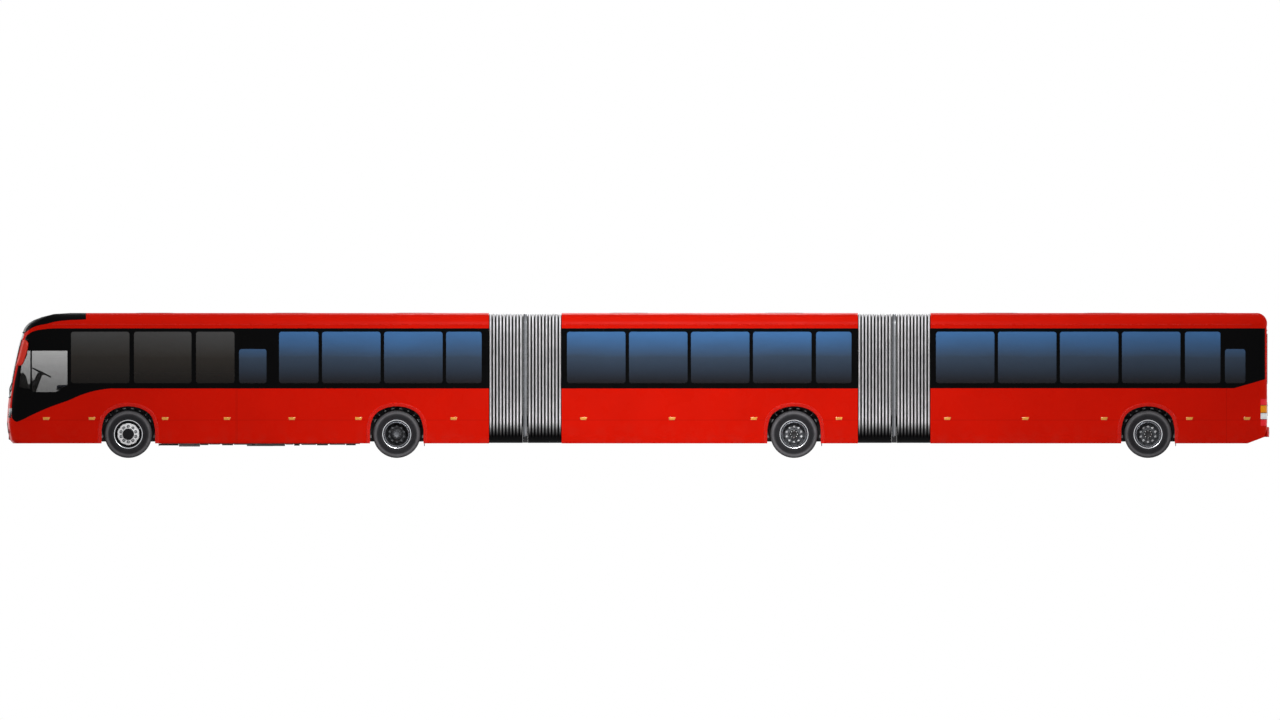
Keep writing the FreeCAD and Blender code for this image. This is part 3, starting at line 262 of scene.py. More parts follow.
CAP_LOWER = (              # (x, z) of the black cap's lower edge over the front of the roof
    (-13.450, 2.741), (-13.386, 2.785), (-13.246, 2.873), (-12.983, 2.939), (-12.676, 3.004), (-12.105, 3.037),
)
CAP_END_X = -12.105
TAIL_BAND = ((13.070, 1.529), (13.755, 1.726))
TAIL_BAND_END_X = 13.752
PANEL_SEAMS_X = (-8.816, -8.790, 12.906)
LAMP_LINE_Z = 0.832
PAINT_EDGE = 0.003         # half the width over which two paints blend


def smoothed(pairs, steps=5):
    """More points along a smooth line through (along, value) pairs, which doesn't overshoot them."""
    x, y = np.array(pairs).T
    slope = np.diff(y) / np.diff(x)
    lean = np.concatenate(([slope[0]], (slope[1:] + slope[:-1]) / 2, [slope[-1]]))
    lean[1:-1][slope[1:] * slope[:-1] <= 0] = 0.0
    points = []
    for k, reach in enumerate(np.diff(x)):
        for t in np.arange(steps) / steps:
            value = (2 * t ** 3 - 3 * t ** 2 + 1) * y[k] + (t ** 3 - 2 * t ** 2 + t) * reach * lean[k]
            value += (3 * t ** 2 - 2 * t ** 3) * y[k + 1] + (t ** 3 - t ** 2) * reach * lean[k + 1]
            points.append((float(x[k] + t * reach), float(value)))
    return points + [tuple(pairs[-1])]


def livery(name, region):
    """Red paint with the black window band, laid out along the bus's side view."""
    g = Graph(name)

    def over(value, limit):
        return g.ramp(g.math("SUBTRACT", value, limit), -PAINT_EDGE, PAINT_EDGE)

    def before(value, limit):
        return g.ramp(value, limit + PAINT_EDGE, limit - PAINT_EDGE)

    if region == "front":
        lower, upper, cap = (g.curve(g.x, smoothed(edge)) for edge in (MASK_LOWER, MASK_UPPER, CAP_LOWER))
        front = g.curve(g.z, smoothed(MASK_FRONT))
        mask = g.all_of(over(g.z, lower), over(upper, g.z), over(g.x, front))
        black = g.any_of(mask, g.all_of(over(g.z, cap), before(g.x, CAP_END_X)))
    elif region == "rear":
        black = g.all_of(over(g.z, g.curve(g.x, TAIL_BAND)), before(g.z, BAND_Z[1]), before(g.x, TAIL_BAND_END_X))
    else:
        black = g.band(g.z, *BAND_Z, PAINT_EDGE)
    red = g.mix(g.patches(0.9, 4.0, 0.35, 0.65), scaled(RED, 0.965), scaled(RED, 1.035))
    lamp_line = g.band(g.z, LAMP_LINE_Z - 0.006, LAMP_LINE_Z + 0.006)
    below = g.ramp(g.z, BAND_Z[0] + 0.001, BAND_Z[0] - 0.001)
    lines = g.any_of(lamp_line, *[g.all_of(g.band(g.x, x - 0.005, x + 0.005), below) for x in PANEL_SEAMS_X])
    spray = g.all_of(g.ramp(g.z, 0.80, 0.30), g.patches(5.0, 6.0, 0.45, 0.80))
    # Painted shade: the red darkens over the skirt's lowest few centimetres, along its hem.
    hem_shade = g.ramp(g.z, SKIRT + 0.045, SKIRT + 0.010)
    for where, share, tint in ((lines, 0.24, SEAM_RED), (hem_shade, 0.25, HEM_SHADE_RED), (spray, 0.10, SPRAY)):
        red = g.mix(g.times(where, share), red, tint)
    weathered = g.times(g.ramp(g.z, GUTTER + 0.02, GUTTER + 0.22), 0.40)
    dull = g.math("ADD", weathered, g.times(spray, 0.25))
    g.bump(g.math("SUBTRACT", g.times(g.noise(140.0, 2.0), 0.10), g.times(lines, 1.0)), 0.25, 0.0012)
    return g.finish(g.mix(black, red, BLACK), g.math("ADD", g.patches(2.5, 5.0, 0.3, 0.7, 0.22, 0.36), dull),
                    Specular_IOR_Level=0.03)


def glass(name, top, middle, bottom, alpha_top, alpha_bottom, span=(1.64, 2.77), rough=0.06, specular=0.10):
    """Tinted glass with a painted reflection, brighter towards its top and crossed by soft uneven streaks. Each pane
    shows two faces.
    """
    g = Graph(name)
    height = g.ramp(g.z, *span)
    reflection_streak = g.times(g.math("SUBTRACT", g.noise(1.1, 3.0, (0.5, 1.0, 1.6)), 0.5), 0.30)
    blend = g.math("ADD", height, g.all_of(reflection_streak, height))
    lower = g.mix(g.ramp(blend, 0.0, 0.55), lin(*bottom), lin(*middle))
    g.bump(g.noise(2.0, 1.0), 0.06, 0.002)
    return g.finish(g.mix(g.ramp(blend, 0.50, 1.0), lower, lin(*top)),
                    g.patches(14.0, 5.0, 0.4, 0.8, rough, rough + 0.08),
                    Alpha=g.ramp(height, 0.0, 1.0, alpha_bottom, alpha_top), Specular_IOR_Level=specular)


PAINTS = {car: livery(f"paint_{car}_car", car) for car in CARS}
# Each glass below carries a painted reflection, running from its bottom colour up to its top colour.
SALOON_GLASS = glass("glass_saloon", (66, 114, 168), (56, 72, 92), (26, 24, 26), 0.97, 0.97)
DARK_GLASS = glass("glass_saloon_fore", (74, 74, 74), (48, 44, 40), (22, 18, 15), 0.97, 0.97)
CAB_GLASS = glass("glass_cab", (46, 46, 46), (40, 39, 38), (26, 24, 22), 0.24, 0.40, (1.45, 2.35), 0.04)
SCREEN_GLASS = glass("glass_windscreen", (26, 30, 34), (22, 25, 28), (14, 15, 17), 0.46, 0.42, (1.33, 2.75), 0.04, 0.20)
DOOR_GLASS = glass("glass_doors", (40, 52, 62), (26, 31, 36), (14, 14, 15), 0.52, 0.58, (1.20, 2.73), 0.05, 0.20)
CLEAR = glass("lamp_cover", (226, 227, 230), (120, 122, 126), (40, 41, 44), 0.62, 0.30, (0.90, 1.05), 0.04, 0.5)
PLAIN_RED = plain("red_paint_plain", RED, 0.28, 0.0, 0.16, 0.04, 1.5, 140.0, 0.03)
ROOF_RED = plain("red_roof_fittings", RED, 0.66, 0.0, 0.05, 0.05, 1.5, 140.0, 0.05)
MIRROR_RED = plain("red_plastic", (0.72, 0.030, 0.014), 0.34, 0.0, 0.25, 0.04, 3.0, 120.0, 0.05)
TRIM = plain("interior_trim", lin(168, 168, 164), 0.60, 0.0, 0.35, 0.06, 2.0, 180.0, 0.20)
CEILING = plain("ceiling_lining", lin(196, 196, 192), 0.70, 0.0, 0.30, 0.05, 2.0, 150.0, 0.20)
FLOORING = plain("floor_covering", lin(70, 73, 78), 0.62, 0.0, 0.40, 0.15, 6.0, 320.0, 0.45, 0.25)
CHASSIS = plain("chassis_paint", lin(26, 27, 29), 0.50, 0.1, 0.40, 0.25, 4.0, 90.0, 0.35, 0.35)
CAST = plain("cast_iron", lin(52, 52, 54), 0.58, 0.55, 0.45, 0.25, 7.0, 160.0, 0.60, 0.30)
STEEL = plain("bare_steel", lin(150, 152, 155), 0.34, 0.90, 0.50, 0.12, 6.0, 220.0, 0.20)
ALUMINIUM = plain("aluminium_block", lin(128, 130, 132), 0.45, 0.80, 0.50, 0.15, 5.0, 200.0, 0.40, 0.15)
BLACK_PLASTIC = plain("black_plastic", lin(22, 22, 24), 0.55, 0.0, 0.35, 0.20, 5.0, 260.0, 0.35)
DASH_PLASTIC = plain("dash_plastic", lin(42, 43, 46), 0.62, 0.0, 0.35, 0.15, 5.0, 420.0, 0.50)
RUBBER = plain("seal_rubber", lin(14, 14, 15), 0.70, 0.0, 0.25, 0.20, 8.0, 300.0, 0.25)
GREY_PAINT = plain("grey_box_paint", lin(96, 98, 100), 0.50, 0.2, 0.40, 0.15, 5.0, 120.0, 0.20, 0.35)
CHROME = plain("polished_rim", lin(214, 216, 220), 0.20, 1.0, 0.50, 0.05, 6.0, 240.0, 0.06)
GLOSS_BLACK = plain("hub_cap_black", lin(14, 14, 18), 0.16, 0.0, 0.12, 0.10, 5.0, 160.0, 0.04)
SILVER = plain("silver_paint", lin(232, 233, 235), 0.38, 0.10, 0.50, 0.08, 7.0, 240.0, 0.15)
MACHINED = plain("machined_lip", lin(150, 152, 157), 0.24, 1.0, 0.50, 0.10, 6.0, 240.0, 0.08)
WHEEL_GREY = plain("wheel_grey", lin(92, 94, 98), 0.48, 0.35, 0.45, 0.18, 8.0, 200.0, 0.25)
WHEEL_DARK = plain("wheel_dark", lin(34, 35, 38), 0.52, 0.25, 0.40, 0.25, 8.0, 200.0, 0.30)
POLE = plain("handrail_yellow", lin(222, 176, 36), 0.34, 0.0, 0.45, 0.06, 4.0, 160.0, 0.05)
SEAT_SHELL = plain("seat_shell", lin(58, 62, 70), 0.50, 0.0, 0.40, 0.10, 5.0, 260.0, 0.30)
MIRROR_GLASS = plain("mirror_glass", lin(190, 196, 200), 0.04, 1.0, 0.50, 0.02, 2.0, 4.0, 0.01)
REFLECTOR = plain("lamp_reflector", lin(222, 224, 228), 0.14, 0.9, 0.50, 0.04, 9.0, 120.0, 0.10)


def lens(name, *screen_colour):
    """A ribbed plastic lamp lens."""
    g = Graph(name)
    colour = lin(*screen_colour)
    g.bump(g.math("MAXIMUM", g.wave(g.x, 180.0), g.wave(g.z, 180.0)), 0.25, 0.002)
    return g.finish(g.mix(g.patches(12.0, 3.0, 0.3, 0.7), scaled(colour, 0.86), scaled(colour, 1.12)),
                    g.patches(30.0, 3.0, 0.3, 0.7, 0.16, 0.24), Specular_IOR_Level=0.5)


AMBER = lens("amber_lens", 234, 160, 52)
RED_LENS = lens("red_lens", 214, 22, 34)
WHITE_LENS = lens("white_lens", 228, 230, 234)
TAIL_BANDS = (             # (bottom, top, colour) of the lamp column
    (0.700, 0.846, lin(250, 40, 50)), (0.851, 0.985, lin(244, 245, 248)), (0.993, 1.154, lin(255, 152, 6)),
    (1.158, 1.298, lin(250, 40, 50)),
)


def tail_lens():
    g = Graph("tail_lamp_lenses")
    colour = (0.010, 0.010, 0.010)
    for low, high, tint in TAIL_BANDS:
        # Painted highlight: each band is a tenth brighter along its middle.
        off_middle = g.math("ABSOLUTE", g.math("SUBTRACT", g.z, (low + high) / 2))
        highlighted_tint = g.mix(g.ramp(off_middle, 0.010, 0.055), scaled(tint, 1.10), tint)
        colour = g.mix(g.band(g.z, low + 0.003, high - 0.003, 0.001), colour, highlighted_tint)
    g.bump(g.math("MAXIMUM", g.wave(g.z, 420.0), g.wave(g.y, 420.0)), 0.30, 0.002)
    return g.finish(colour, g.patches(30.0, 3.0, 0.3, 0.7, 0.12, 0.22), Specular_IOR_Level=0.12)


def tyre_rubber():
    """Rubber with a painted highlight, a paler ring at its shoulders, varied by dust patches. The mesh carries how
    strong the painted highlight is at each point.
    """
    g = Graph("tyre_rubber")
    dusty = g.patches(5.0, 6.0, 0.30, 0.72)
    # Painted highlight: pale rings by radius about the axle.
    pale = g.times(g.attribute("shoulder_highlight"), g.ramp(dusty, 0.0, 1.0, 0.65, 1.0))
    worn = g.mix(dusty, lin(19, 19, 22), lin(30, 30, 34))
    g.bump(g.noise(220.0, 4.0), 0.30, 0.002)
    return g.finish(g.mix(pale, worn, lin(116, 115, 118)), g.ramp(dusty, 0.0, 1.0, 0.62, 0.80),
                    Specular_IOR_Level=0.10)


FOLD_SHADE_BY_HEIGHT = (            # (z, how pale) of the bellows: black at the foot, the black apron's own colour, then painted shade rising to pale, a painted dimming about the middle height and pale at the top
    (0.30, 0.0), (0.49, 0.0), (0.54, 0.05), (0.63, 0.20), (0.70, 0.50), (0.78, 0.95), (0.88, 1.0), (1.15, 0.86),
    (1.45, 0.72), (1.80, 0.66), (2.20, 0.68), (2.70, 0.80), (2.95, 1.0), (3.20, 1.0),
)


def fold_fabric():
    """Coated bellows fabric with painted shade, dark in the grooves between folds and by height. The mesh carries how
    deep each point lies.
    """
    g = Graph("bellows_fabric")
    worn = g.noise(6.0, 5.0)
    pale = g.mix(g.ramp(worn, 0.35, 0.70), lin(218, 218, 220), lin(244, 244, 246))
    shaded = g.mix(g.curve(g.z, FOLD_SHADE_BY_HEIGHT), lin(4, 4, 5), pale)
    g.bump(g.times(g.wave(g.z, 900.0), g.wave(g.y, 900.0)), 0.12, 0.001)
    # Painted shade: the grooves darken to near black with their depth.
    return g.finish(g.mix(g.ramp(g.attribute("groove"), 0.01, 0.18), shaded, lin(3, 3, 4)),
                    g.ramp(worn, 0.3, 0.7, 0.44, 0.60), Specular_IOR_Level=0.06)


def upholstery():
    """Short-pile seat fabric with a fine weave."""
    g = Graph("seat_fabric")
    g.bump(g.math("ADD", g.wave(g.y, 1300.0), g.wave(g.math("ADD", g.x, g.z), 1300.0)), 0.30, 0.001)
    return g.finish(g.mix(g.patches(160.0, 2.0, 0.42, 0.62), lin(28, 44, 82), lin(58, 78, 122)),
                    g.patches(20.0, 3.0, 0.3, 0.7, 0.80, 0.92), Specular_IOR_Level=0.2, Sheen_Weight=0.35)


TAIL_LENS, TYRE_RUBBER, BELLOWS_FABRIC, SEAT_FABRIC = tail_lens(), tyre_rubber(), fold_fabric(), upholstery()


# ---- mesh building ------------------------------------------------------------------------------
def placed(name, data):
    """A new object in the scene."""
    thing = bpy.data.objects.new(name, data)
    bpy.context.scene.collection.objects.link(thing)
    return thing


def evenly(low, high, parts):
    return [low + (high - low) * k / parts for k in range(parts + 1)]


def around(count, phase=0.0):
    """Angles evenly round a circle, the first at a share of a step."""
    return [2 * math.pi * (k + phase) / count for k in range(count)]


def arc(centre, radius, start, end, count):
    """(a, b) points round a circle between two angles in degrees."""
    turns = [math.radians(turn) for turn in evenly(start, end, count - 1)]
    return [(centre[0] + radius * math.cos(t), centre[1] + radius * math.sin(t)) for t in turns]


def rounded(low, high, inset, radius, count):
    """(a, b) points round a rectangle, its corners arcs about points inset from it."""
    (a0, b0), (a1, b1) = low, high
    corners = [(a1 - inset, b1 - inset), (a0 + inset, b1 - inset), (a0 + inset, b0 + inset), (a1 - inset, b0 + inset)]
    return [p for k, corner in enumerate(corners) for p in arc(corner, radius, 90 * k, 90 * k + 90, count)]


class Form:
    """Points and faces in metres, gathered from simple shapes and made into one object."""

    def __init__(self):
        self.points, self.faces, self.paints = [], [], []

    def add(self, points, faces, paint=0):
        first = len(self.points)
        self.points += [tuple(p) for p in points]
        self.faces += [tuple(first + k for k in face) for face in faces]
        self.paints += [paint] * len(faces)

    def take(self, mesh, paint, edge=0.0, parts=2):
        """Adds a working mesh, its edges rounded first, and frees it."""
        if edge:
            bmesh.ops.bevel(mesh, geom=list(mesh.edges), offset=edge, segments=parts, profile=0.5, affect="EDGES")
        mesh.verts.index_update()
        self.add([v.co for v in mesh.verts], [[v.index for v in f.verts] for f in mesh.faces], paint)
        mesh.free()

    def sheet(self, rows, paint=0, closed=False):
        """Faces between rows of points, all rows of one length."""
        count = len(rows[0])
        ahead = [(n, (n + 1) % count) for n in range(count if closed else count - 1)]
        faces = [(k * count + a, k * count + b, (k + 1) * count + b, (k + 1) * count + a)
                 for k in range(len(rows) - 1) for a, b in ahead]
        self.add([p for row in rows for p in row], faces, paint)

    def block(self, low, high, paint=0, edge=0.0, parts=2):
        """A box with rounded edges."""
        mesh = bmesh.new()
        bmesh.ops.create_cube(mesh, size=1.0)
        low, high = Vector(map(min, low, high)), Vector(map(max, low, high))
        size, middle = high - low, (low + high) / 2
        for v in mesh.verts:
            v.co = v.co * size + middle
        self.take(mesh, paint, min(edge, min(size) * 0.45), parts)

    def prism(self, outline, y, paint=0, edge=0.0, parts=2):
        """An outline in the side view, (x, z) points, as a solid from y[0] to y[1]."""
        mesh = bmesh.new()
        front, back = ([mesh.verts.new((a, depth, b)) for a, b in outline] for depth in y)
        mesh.faces.new(front)
        mesh.faces.new(back[::-1])
        for k in range(len(outline)):
            mesh.faces.new((front[k - 1], back[k - 1], back[k], front[k]))
        bmesh.ops.recalc_face_normals(mesh, faces=mesh.faces)
        self.take(mesh, paint, edge, parts)

    def turned(self, centre, axis, rows, steps=48, paint=0, start=0.0, notch=None):
        """Rings about an axis. Rows are (distance along it, radius) and, where it changes, the paint from there."""
        axis, centre = Vector(axis).normalized(), Vector(centre)
        across = axis.cross(Vector((0, 0, 1)) if abs(axis.z) < 0.9 else Vector((1, 0, 0))).normalized()
        up = axis.cross(across)
        ways = [across * math.cos(t) + up * math.sin(t) for t in around(steps)]
        rings = [[centre + axis * (start + row[0]) + way * (row[1] + (notch(k, n) if notch else 0.0))
                  for k, way in enumerate(ways)] for n, row in enumerate(rows)]
        for n in range(len(rows) - 1):
            paint = rows[n][2] if len(rows[n]) > 2 else paint
            self.sheet(rings[n:n + 2], paint, True)

    def tube(self, path, radius, paint=0, sides=8, closed=False):
        """A round bar along a line of points."""
        path = [Vector(p) for p in path]
        rings, normal = [], None
        for k, point in enumerate(path):
            before = path[k - 1] if k or closed else point
            after = path[(k + 1) % len(path)] if k < len(path) - 1 or closed else point
            way = (after - before).normalized()
            if normal is None:
                normal = way.cross(Vector((0, 0, 1)) if abs(way.z) < 0.9 else Vector((1, 0, 0))).normalized()
            normal = (normal - way * normal.dot(way)).normalized()
            other = way.cross(normal)
            rings.append([point + (normal * math.cos(a) + other * math.sin(a)) * radius for a in around(sides)])
        self.sheet(rings + rings[:1] if closed else rings, paint, True)
        for ring in () if closed else (rings[0], rings[-1]):
            self.add(ring, [tuple(range(sides))], paint)

    def swept(self, path, section, side, paint=0):
        """A moulding along (x, z) points on a side. Section rows are (out from the path, proud of the side)."""
        rows = []
        for k, (x, z) in enumerate(path):
            before, after = path[max(k - 1, 0)], path[min(k + 1, len(path) - 1)]
            dx, dz = after[0] - before[0], after[1] - before[1]
            length = math.hypot(dx, dz) or 1.0
            rows.append([(x - dz / length * out, side * (HALF + proud), z + dx / length * out)
                         for out, proud in section])
        self.sheet(rows, paint)

    def make(self, name, body, paints, slot=None, replaces=(), angle=35.0, weld=True):
        mesh = bpy.data.meshes.new(name)
        mesh.from_pydata(self.points, [], self.faces)
        for paint in paints:
            mesh.materials.append(paint)
        mesh.polygons.foreach_set("material_index", self.paints)
        if weld:
            tidy = bmesh.new()
            tidy.from_mesh(mesh)
            bmesh.ops.remove_doubles(tidy, verts=tidy.verts, dist=0.00005)
            bmesh.ops.recalc_face_normals(tidy, faces=tidy.faces)
            tidy.to_mesh(mesh)
            tidy.free()
        mesh.polygons.foreach_set("use_smooth", [True] * len(mesh.polygons))
        mesh.set_sharp_from_angle(angle=math.radians(angle))
        piece = placed(name, mesh)
        if body:
            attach(piece, body)
        if replaces:
            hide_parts(*replaces)
        return piece


def islands(node):
    """The boxes of a CAD node's separate solids, as (low, high) corners."""
    mesh = bmesh.new()
    mesh.from_mesh(NODES[node].data)
    bmesh.ops.remove_doubles(mesh, verts=mesh.verts, dist=0.0001)
    seen, found = set(), []
    for start in mesh.verts:
        if start in seen:
            continue
        stack, group = [start], []
        seen.add(start)
        while stack:
            v = stack.pop()
            group.append(v.co)
            fresh = {e.other_vert(v) for e in v.link_edges} - seen
            seen |= fresh
            stack += fresh
        co = np.array(group)
        found.append((Vector(co.min(0)), Vector(co.max(0))))
    mesh.free()
    return found


# ---- camera, light and floor --------------------------------------------------------------------
VIEW_WIDTH = 28.070
camera_data = bpy.data.cameras.new("camera")
camera_data.type = "ORTHO"
camera_data.ortho_scale = VIEW_WIDTH
camera_data.clip_end = 200.0
camera = placed("camera", camera_data)
camera.location = (0.044, -40.0, 2.149)
camera.rotation_euler = (math.radians(90.0), 0.0, 0.0)
bpy.context.scene.camera = camera
bpy.context.scene.view_settings.view_transform = "Standard"

WHITE = (1.0, 1.0, 1.0)
UNSEEN_LEVEL = 0.40        # of the white surroundings, where they only light the bus
world = bpy.data.worlds.new("studio")
world.use_nodes = True
bpy.context.scene.world = world
sky = Nodes(world.node_tree)
background = sky.tree.nodes["Background"].inputs
sky.join(sky.ramp(sky.seen(), 0.0, 1.0, UNSEEN_LEVEL, 1.0), background["Strength"])
sky.join(WHITE, background["Color"])

LAMP_SPREAD = math.radians(100.0)
LAMPS = (                  # (place, size, power, aim)
    ((0.5, -22.0, 12.0), (10.0, 6.0), 1190.0, (0.5, 0.0, 1.0)),
    ((0.5, 22.0, 12.0), (10.0, 6.0), 1190.0, (0.5, 0.0, 1.0)),
    ((-36.0, 0.0, 12.0), (8.0, 8.0), 590.0, (-12.0, 0.0, 1.0)),
    ((36.0, 0.0, 12.0), (8.0, 8.0), 590.0, (12.0, 0.0, 1.0)),
)
for place, size, power, aim in LAMPS:
    lamp_data = bpy.data.lights.new("soft_lamp", "AREA")
    lamp_data.shape = "RECTANGLE"
    lamp_data.size, lamp_data.size_y = size
    lamp_data.energy, lamp_data.spread = power, LAMP_SPREAD
    lamp = placed("soft_lamp", lamp_data)
    lamp.location = place
    lamp.visible_camera = False
    lamp.rotation_euler = (Vector(aim) - Vector(place)).to_track_quat("-Z", "Y").to_euler()

form = Form()
form.add([(-60.0, -38.0, 0.0), (60.0, -38.0, 0.0), (60.0, 60.0, 0.0), (-60.0, 60.0, 0.0)], [(0, 1, 2, 3)])
g = Graph("studio_floor")
away = g.math("SQRT", g.math("ADD", g.times(g.x, g.x), g.times(g.y, g.y)))
glow = g.times(g.seen(), g.ramp(away, 20.0, 38.0, 0.58, 0.95))
floor_paint = g.finish(g.mix(g.noise(0.4), (0.50, 0.50, 0.50), (0.53, 0.53, 0.53)), 0.9, Specular_IOR_Level=0.1,
                       Emission_Color=WHITE, Emission_Strength=glow)
form.make("studio_floor", None, [floor_paint], weld=False)


# ---- CAD nodes and their materials --------------------------------------------------------------
def paint_node(node, *materials, choose=None):
    """Gives a CAD node its materials, picked face by face where it has several."""
    mesh = NODES[node].data
    mesh.materials.clear()
    for material in materials:
        mesh.materials.append(material)
    if choose:
        mesh.polygons.foreach_set("material_index", [int(choose(f.center, f.normal)) for f in mesh.polygons])


def lining(side):
    """Picks the second material for faces that look into the saloon."""
    return lambda centre, normal: normal.y * side < -0.6 and abs(centre.y) < INSIDE + 0.006


for car in CARS:
    for side_name, side in SIDES:
        paint_node(f"{car}_{side_name}_side", PAINTS[car], TRIM, choose=lining(side))
    paint_node(f"{car}_roof", PAINTS[car], CEILING, choose=lambda c, n: n.z < -0.2 and c.z > GUTTER - 0.05)
    paint_node(f"{car}_floor", FLOORING)
    paint_node(f"{car}_underframe", CHASSIS)
CAB_END_X, FORE_GLASS_END_X, SCREEN_SIDE_Y = -12.47, -8.85, 1.10
paint_node("front_windows", SALOON_GLASS, DARK_GLASS, CAB_GLASS,
           choose=lambda c, n: 2 if c.x < CAB_END_X else c.x < FORE_GLASS_END_X and c.y < 0)
paint_node("windscreen", SCREEN_GLASS, CAB_GLASS, choose=lambda c, n: abs(c.y) > SCREEN_SIDE_Y)
DOORS = {"first": "front", "second": "front", "third": "middle", "fourth": "rear"}
LEAVES = [(f"{order}_door_{leaf}_leaf", car, leaf) for order, car in DOORS.items() for leaf in ("fore", "aft")]
for material, nodes in (
        (PAINTS["front"], ["nose"]), (PAINTS["rear"], ["rear_panel"]), (TAIL_LENS, ["tail_lamps"]),
        (SALOON_GLASS, ["middle_windows", "rear_windows"]), (DASH_PLASTIC, ["cockpit"]),
        (BLACK_PLASTIC, ["steering_wheel"]), (ALUMINIUM, ["powertrain"]), (GREY_PAINT, ["underfloor_boxes"]),
        (CAST, ["front_axle", "drive_axle", "middle_axle", "rear_axle", "left_knuckle", "right_knuckle", "track_rod"]),
        (WHEEL_GREY, ["front_joint_hoop", "rear_joint_hoop"])):
    for node in nodes:
        paint_node(node, material)

# ---- wheels -------------------------------------------------------------------------------------
TYRE_WALL = (              # (out from the tyre's middle, radius), with ribs
    (0.118, 0.300), (0.124, 0.312), (0.132, 0.330), (0.141, 0.352), (0.1450, 0.376), (0.1470, 0.400),
    (0.1475, 0.420), (0.1462, 0.422), (0.1462, 0.434), (0.1475, 0.436), (0.1450, 0.462), (0.1400, 0.486),
    (0.1335, 0.503), (0.1250, 0.513), (0.116, TYRE_RADIUS - 0.003),
)
TYRE_HIGHLIGHT_RINGS = (                 # (radius, strength of the painted highlight) of a tyre
    (0.0, 0.0), (0.30, 0.10), (0.33, 0.16), (0.37, 0.06), (0.42, 0.12), (0.445, 0.50), (0.462, 1.00), (0.478, 0.55),
    (0.494, 0.80), (0.506, 0.45), (0.513, 0.30), (TYRE_RADIUS, 0.18),
)
TREAD_GROOVES = (0.080, 0.028)          # out from the tyre's middle, on either side of it
LUG_DEPTH, LUG_STEPS = 0.009, 4


def add_tyre(form, x, side, plane):
    """One tyre, its tread grooved and its shoulders cut into lugs."""
    outer = list(TYRE_WALL)
    for groove in TREAD_GROOVES:
        outer += [(groove + out, TYRE_RADIUS - deep)
                  for out, deep in ((0.008, 0.001), (0.006, 0.013), (-0.006, 0.013), (-0.008, 0.001))]
    rows = [(-out, radius) for out, radius in reversed(outer)] + outer
    rows = [((plane + out) * side, radius) for out, radius in rows[::-1]]
    shoulder = {n for n, (out, radius) in enumerate(rows)
                if radius > TYRE_RADIUS - 0.012 and abs(abs(out) - plane) > 0.085}
    form.turned((x, 0.0, WHEEL_Z), (0, 1, 0), rows, 144,
                notch=lambda k, n: -LUG_DEPTH if k % LUG_STEPS == 0 and n in shoulder else 0.0)


SINGLE_PARTS = (           # (steps, paint, (out from the wheel's middle, radius) rows) from the rim inwards
    (96, 1, ((0.108, 0.300), (0.122, 0.300), (0.127, 0.306), (0.127, 0.313), (0.118, 0.316), (0.108, 0.308),
             (0.108, 0.300))),
    (96, 2, ((0.112, 0.300), (0.098, 0.286), (0.070, 0.276), (-0.100, 0.268), (-0.112, 0.300), (-0.122, 0.314))),
    (96, 2, ((0.010, 0.276), (0.030, 0.262), (0.052, 0.240), (0.056, 0.100))),
    (120, 3, ((0.056, 0.244), (0.080, 0.244), (0.092, 0.236), (0.095, 0.214), (0.094, 0.150), (0.100, 0.138),
              (0.100, 0.126))),
    (60, 5, ((0.094, 0.127), (0.120, 0.125), (0.130, 0.112), (0.138, 0.080), (0.146, 0.074), (0.149, 0.035),
             (0.150, 0.0))),
    (64, 2, ((-0.140, 0.070), (-0.140, 0.200), (-0.030, 0.200), (0.020, 0.150))),
)
SINGLE_STUDS = (           # (count, radius, share of a step, out, steps, paint, (out, radius) rows)
    (10, 0.1675, 0.5, 0.0945, 20, 2, ((0.0, 0.035), (0.0025, 0.034), (0.0025, 0.0))),
    (10, 0.1675, 0.5, 0.097, 16, 6, ((0.0, 0.0195), (0.005, 0.0195), (0.005, 0.013))),
    (10, 0.1675, 0.5, 0.097, 6, 6, ((0.004, 0.013), (0.026, 0.013), (0.029, 0.0104), (0.029, 0.0))),
)
TWIN_PARTS = (
    (96, 1, ((0.270, 0.290), (0.284, 0.296), (0.294, 0.300), (0.297, 0.307), (0.296, 0.314), (0.288, 0.316),
             (0.278, 0.308))),
    (96, 7, ((0.270, 0.290), (0.260, 0.284), (0.242, 0.266), (0.230, 0.250), (0.220, 0.246))),
    (96, 2, ((0.220, 0.246), (0.060, 0.245), (0.034, 0.244), (0.026, 0.236), (0.030, 0.214), (0.046, 0.196),
             (0.052, 0.188), (0.052, 0.132))),
    (72, 2, ((-0.280, 0.316), (-0.270, 0.290), (-0.200, 0.266), (0.020, 0.262))),
    (72, 2, ((-0.060, 0.300), (-0.058, 0.312), (0.058, 0.312), (0.060, 0.300))),
    (64, 2, ((-0.200, 0.080), (-0.200, 0.205), (-0.020, 0.205))),
    (60, 4, ((0.050, 0.132), (0.120, 0.128), (0.150, 0.118), (0.152, 0.106))),
    (60, 5, ((0.188, 0.060), (0.182, 0.052), (0.182, 0.0))),
)
TWIN_CAP = ((0.152, 0.106), (0.178, 0.104), (0.188, 0.092), (0.188, 0.060))
TWIN_STUDS = (
    (8, 0.226, 0.5, 0.030, 20, 6, ((0.0, 0.022), (0.003, 0.021), (0.003, 0.0))),
    (10, 0.1675, 0.5, 0.052, 16, 3, ((0.0, 0.0255), (0.005, 0.0255), (0.005, 0.017))),
    (10, 0.1675, 0.5, 0.052, 6, 3, ((0.004, 0.017), (0.034, 0.017), (0.037, 0.0136), (0.037, 0.0))),
    (8, 0.076, 0.0, 0.187, 6, 3, ((0.0, 0.009), (0.003, 0.009), (0.003, 0.0))),
)
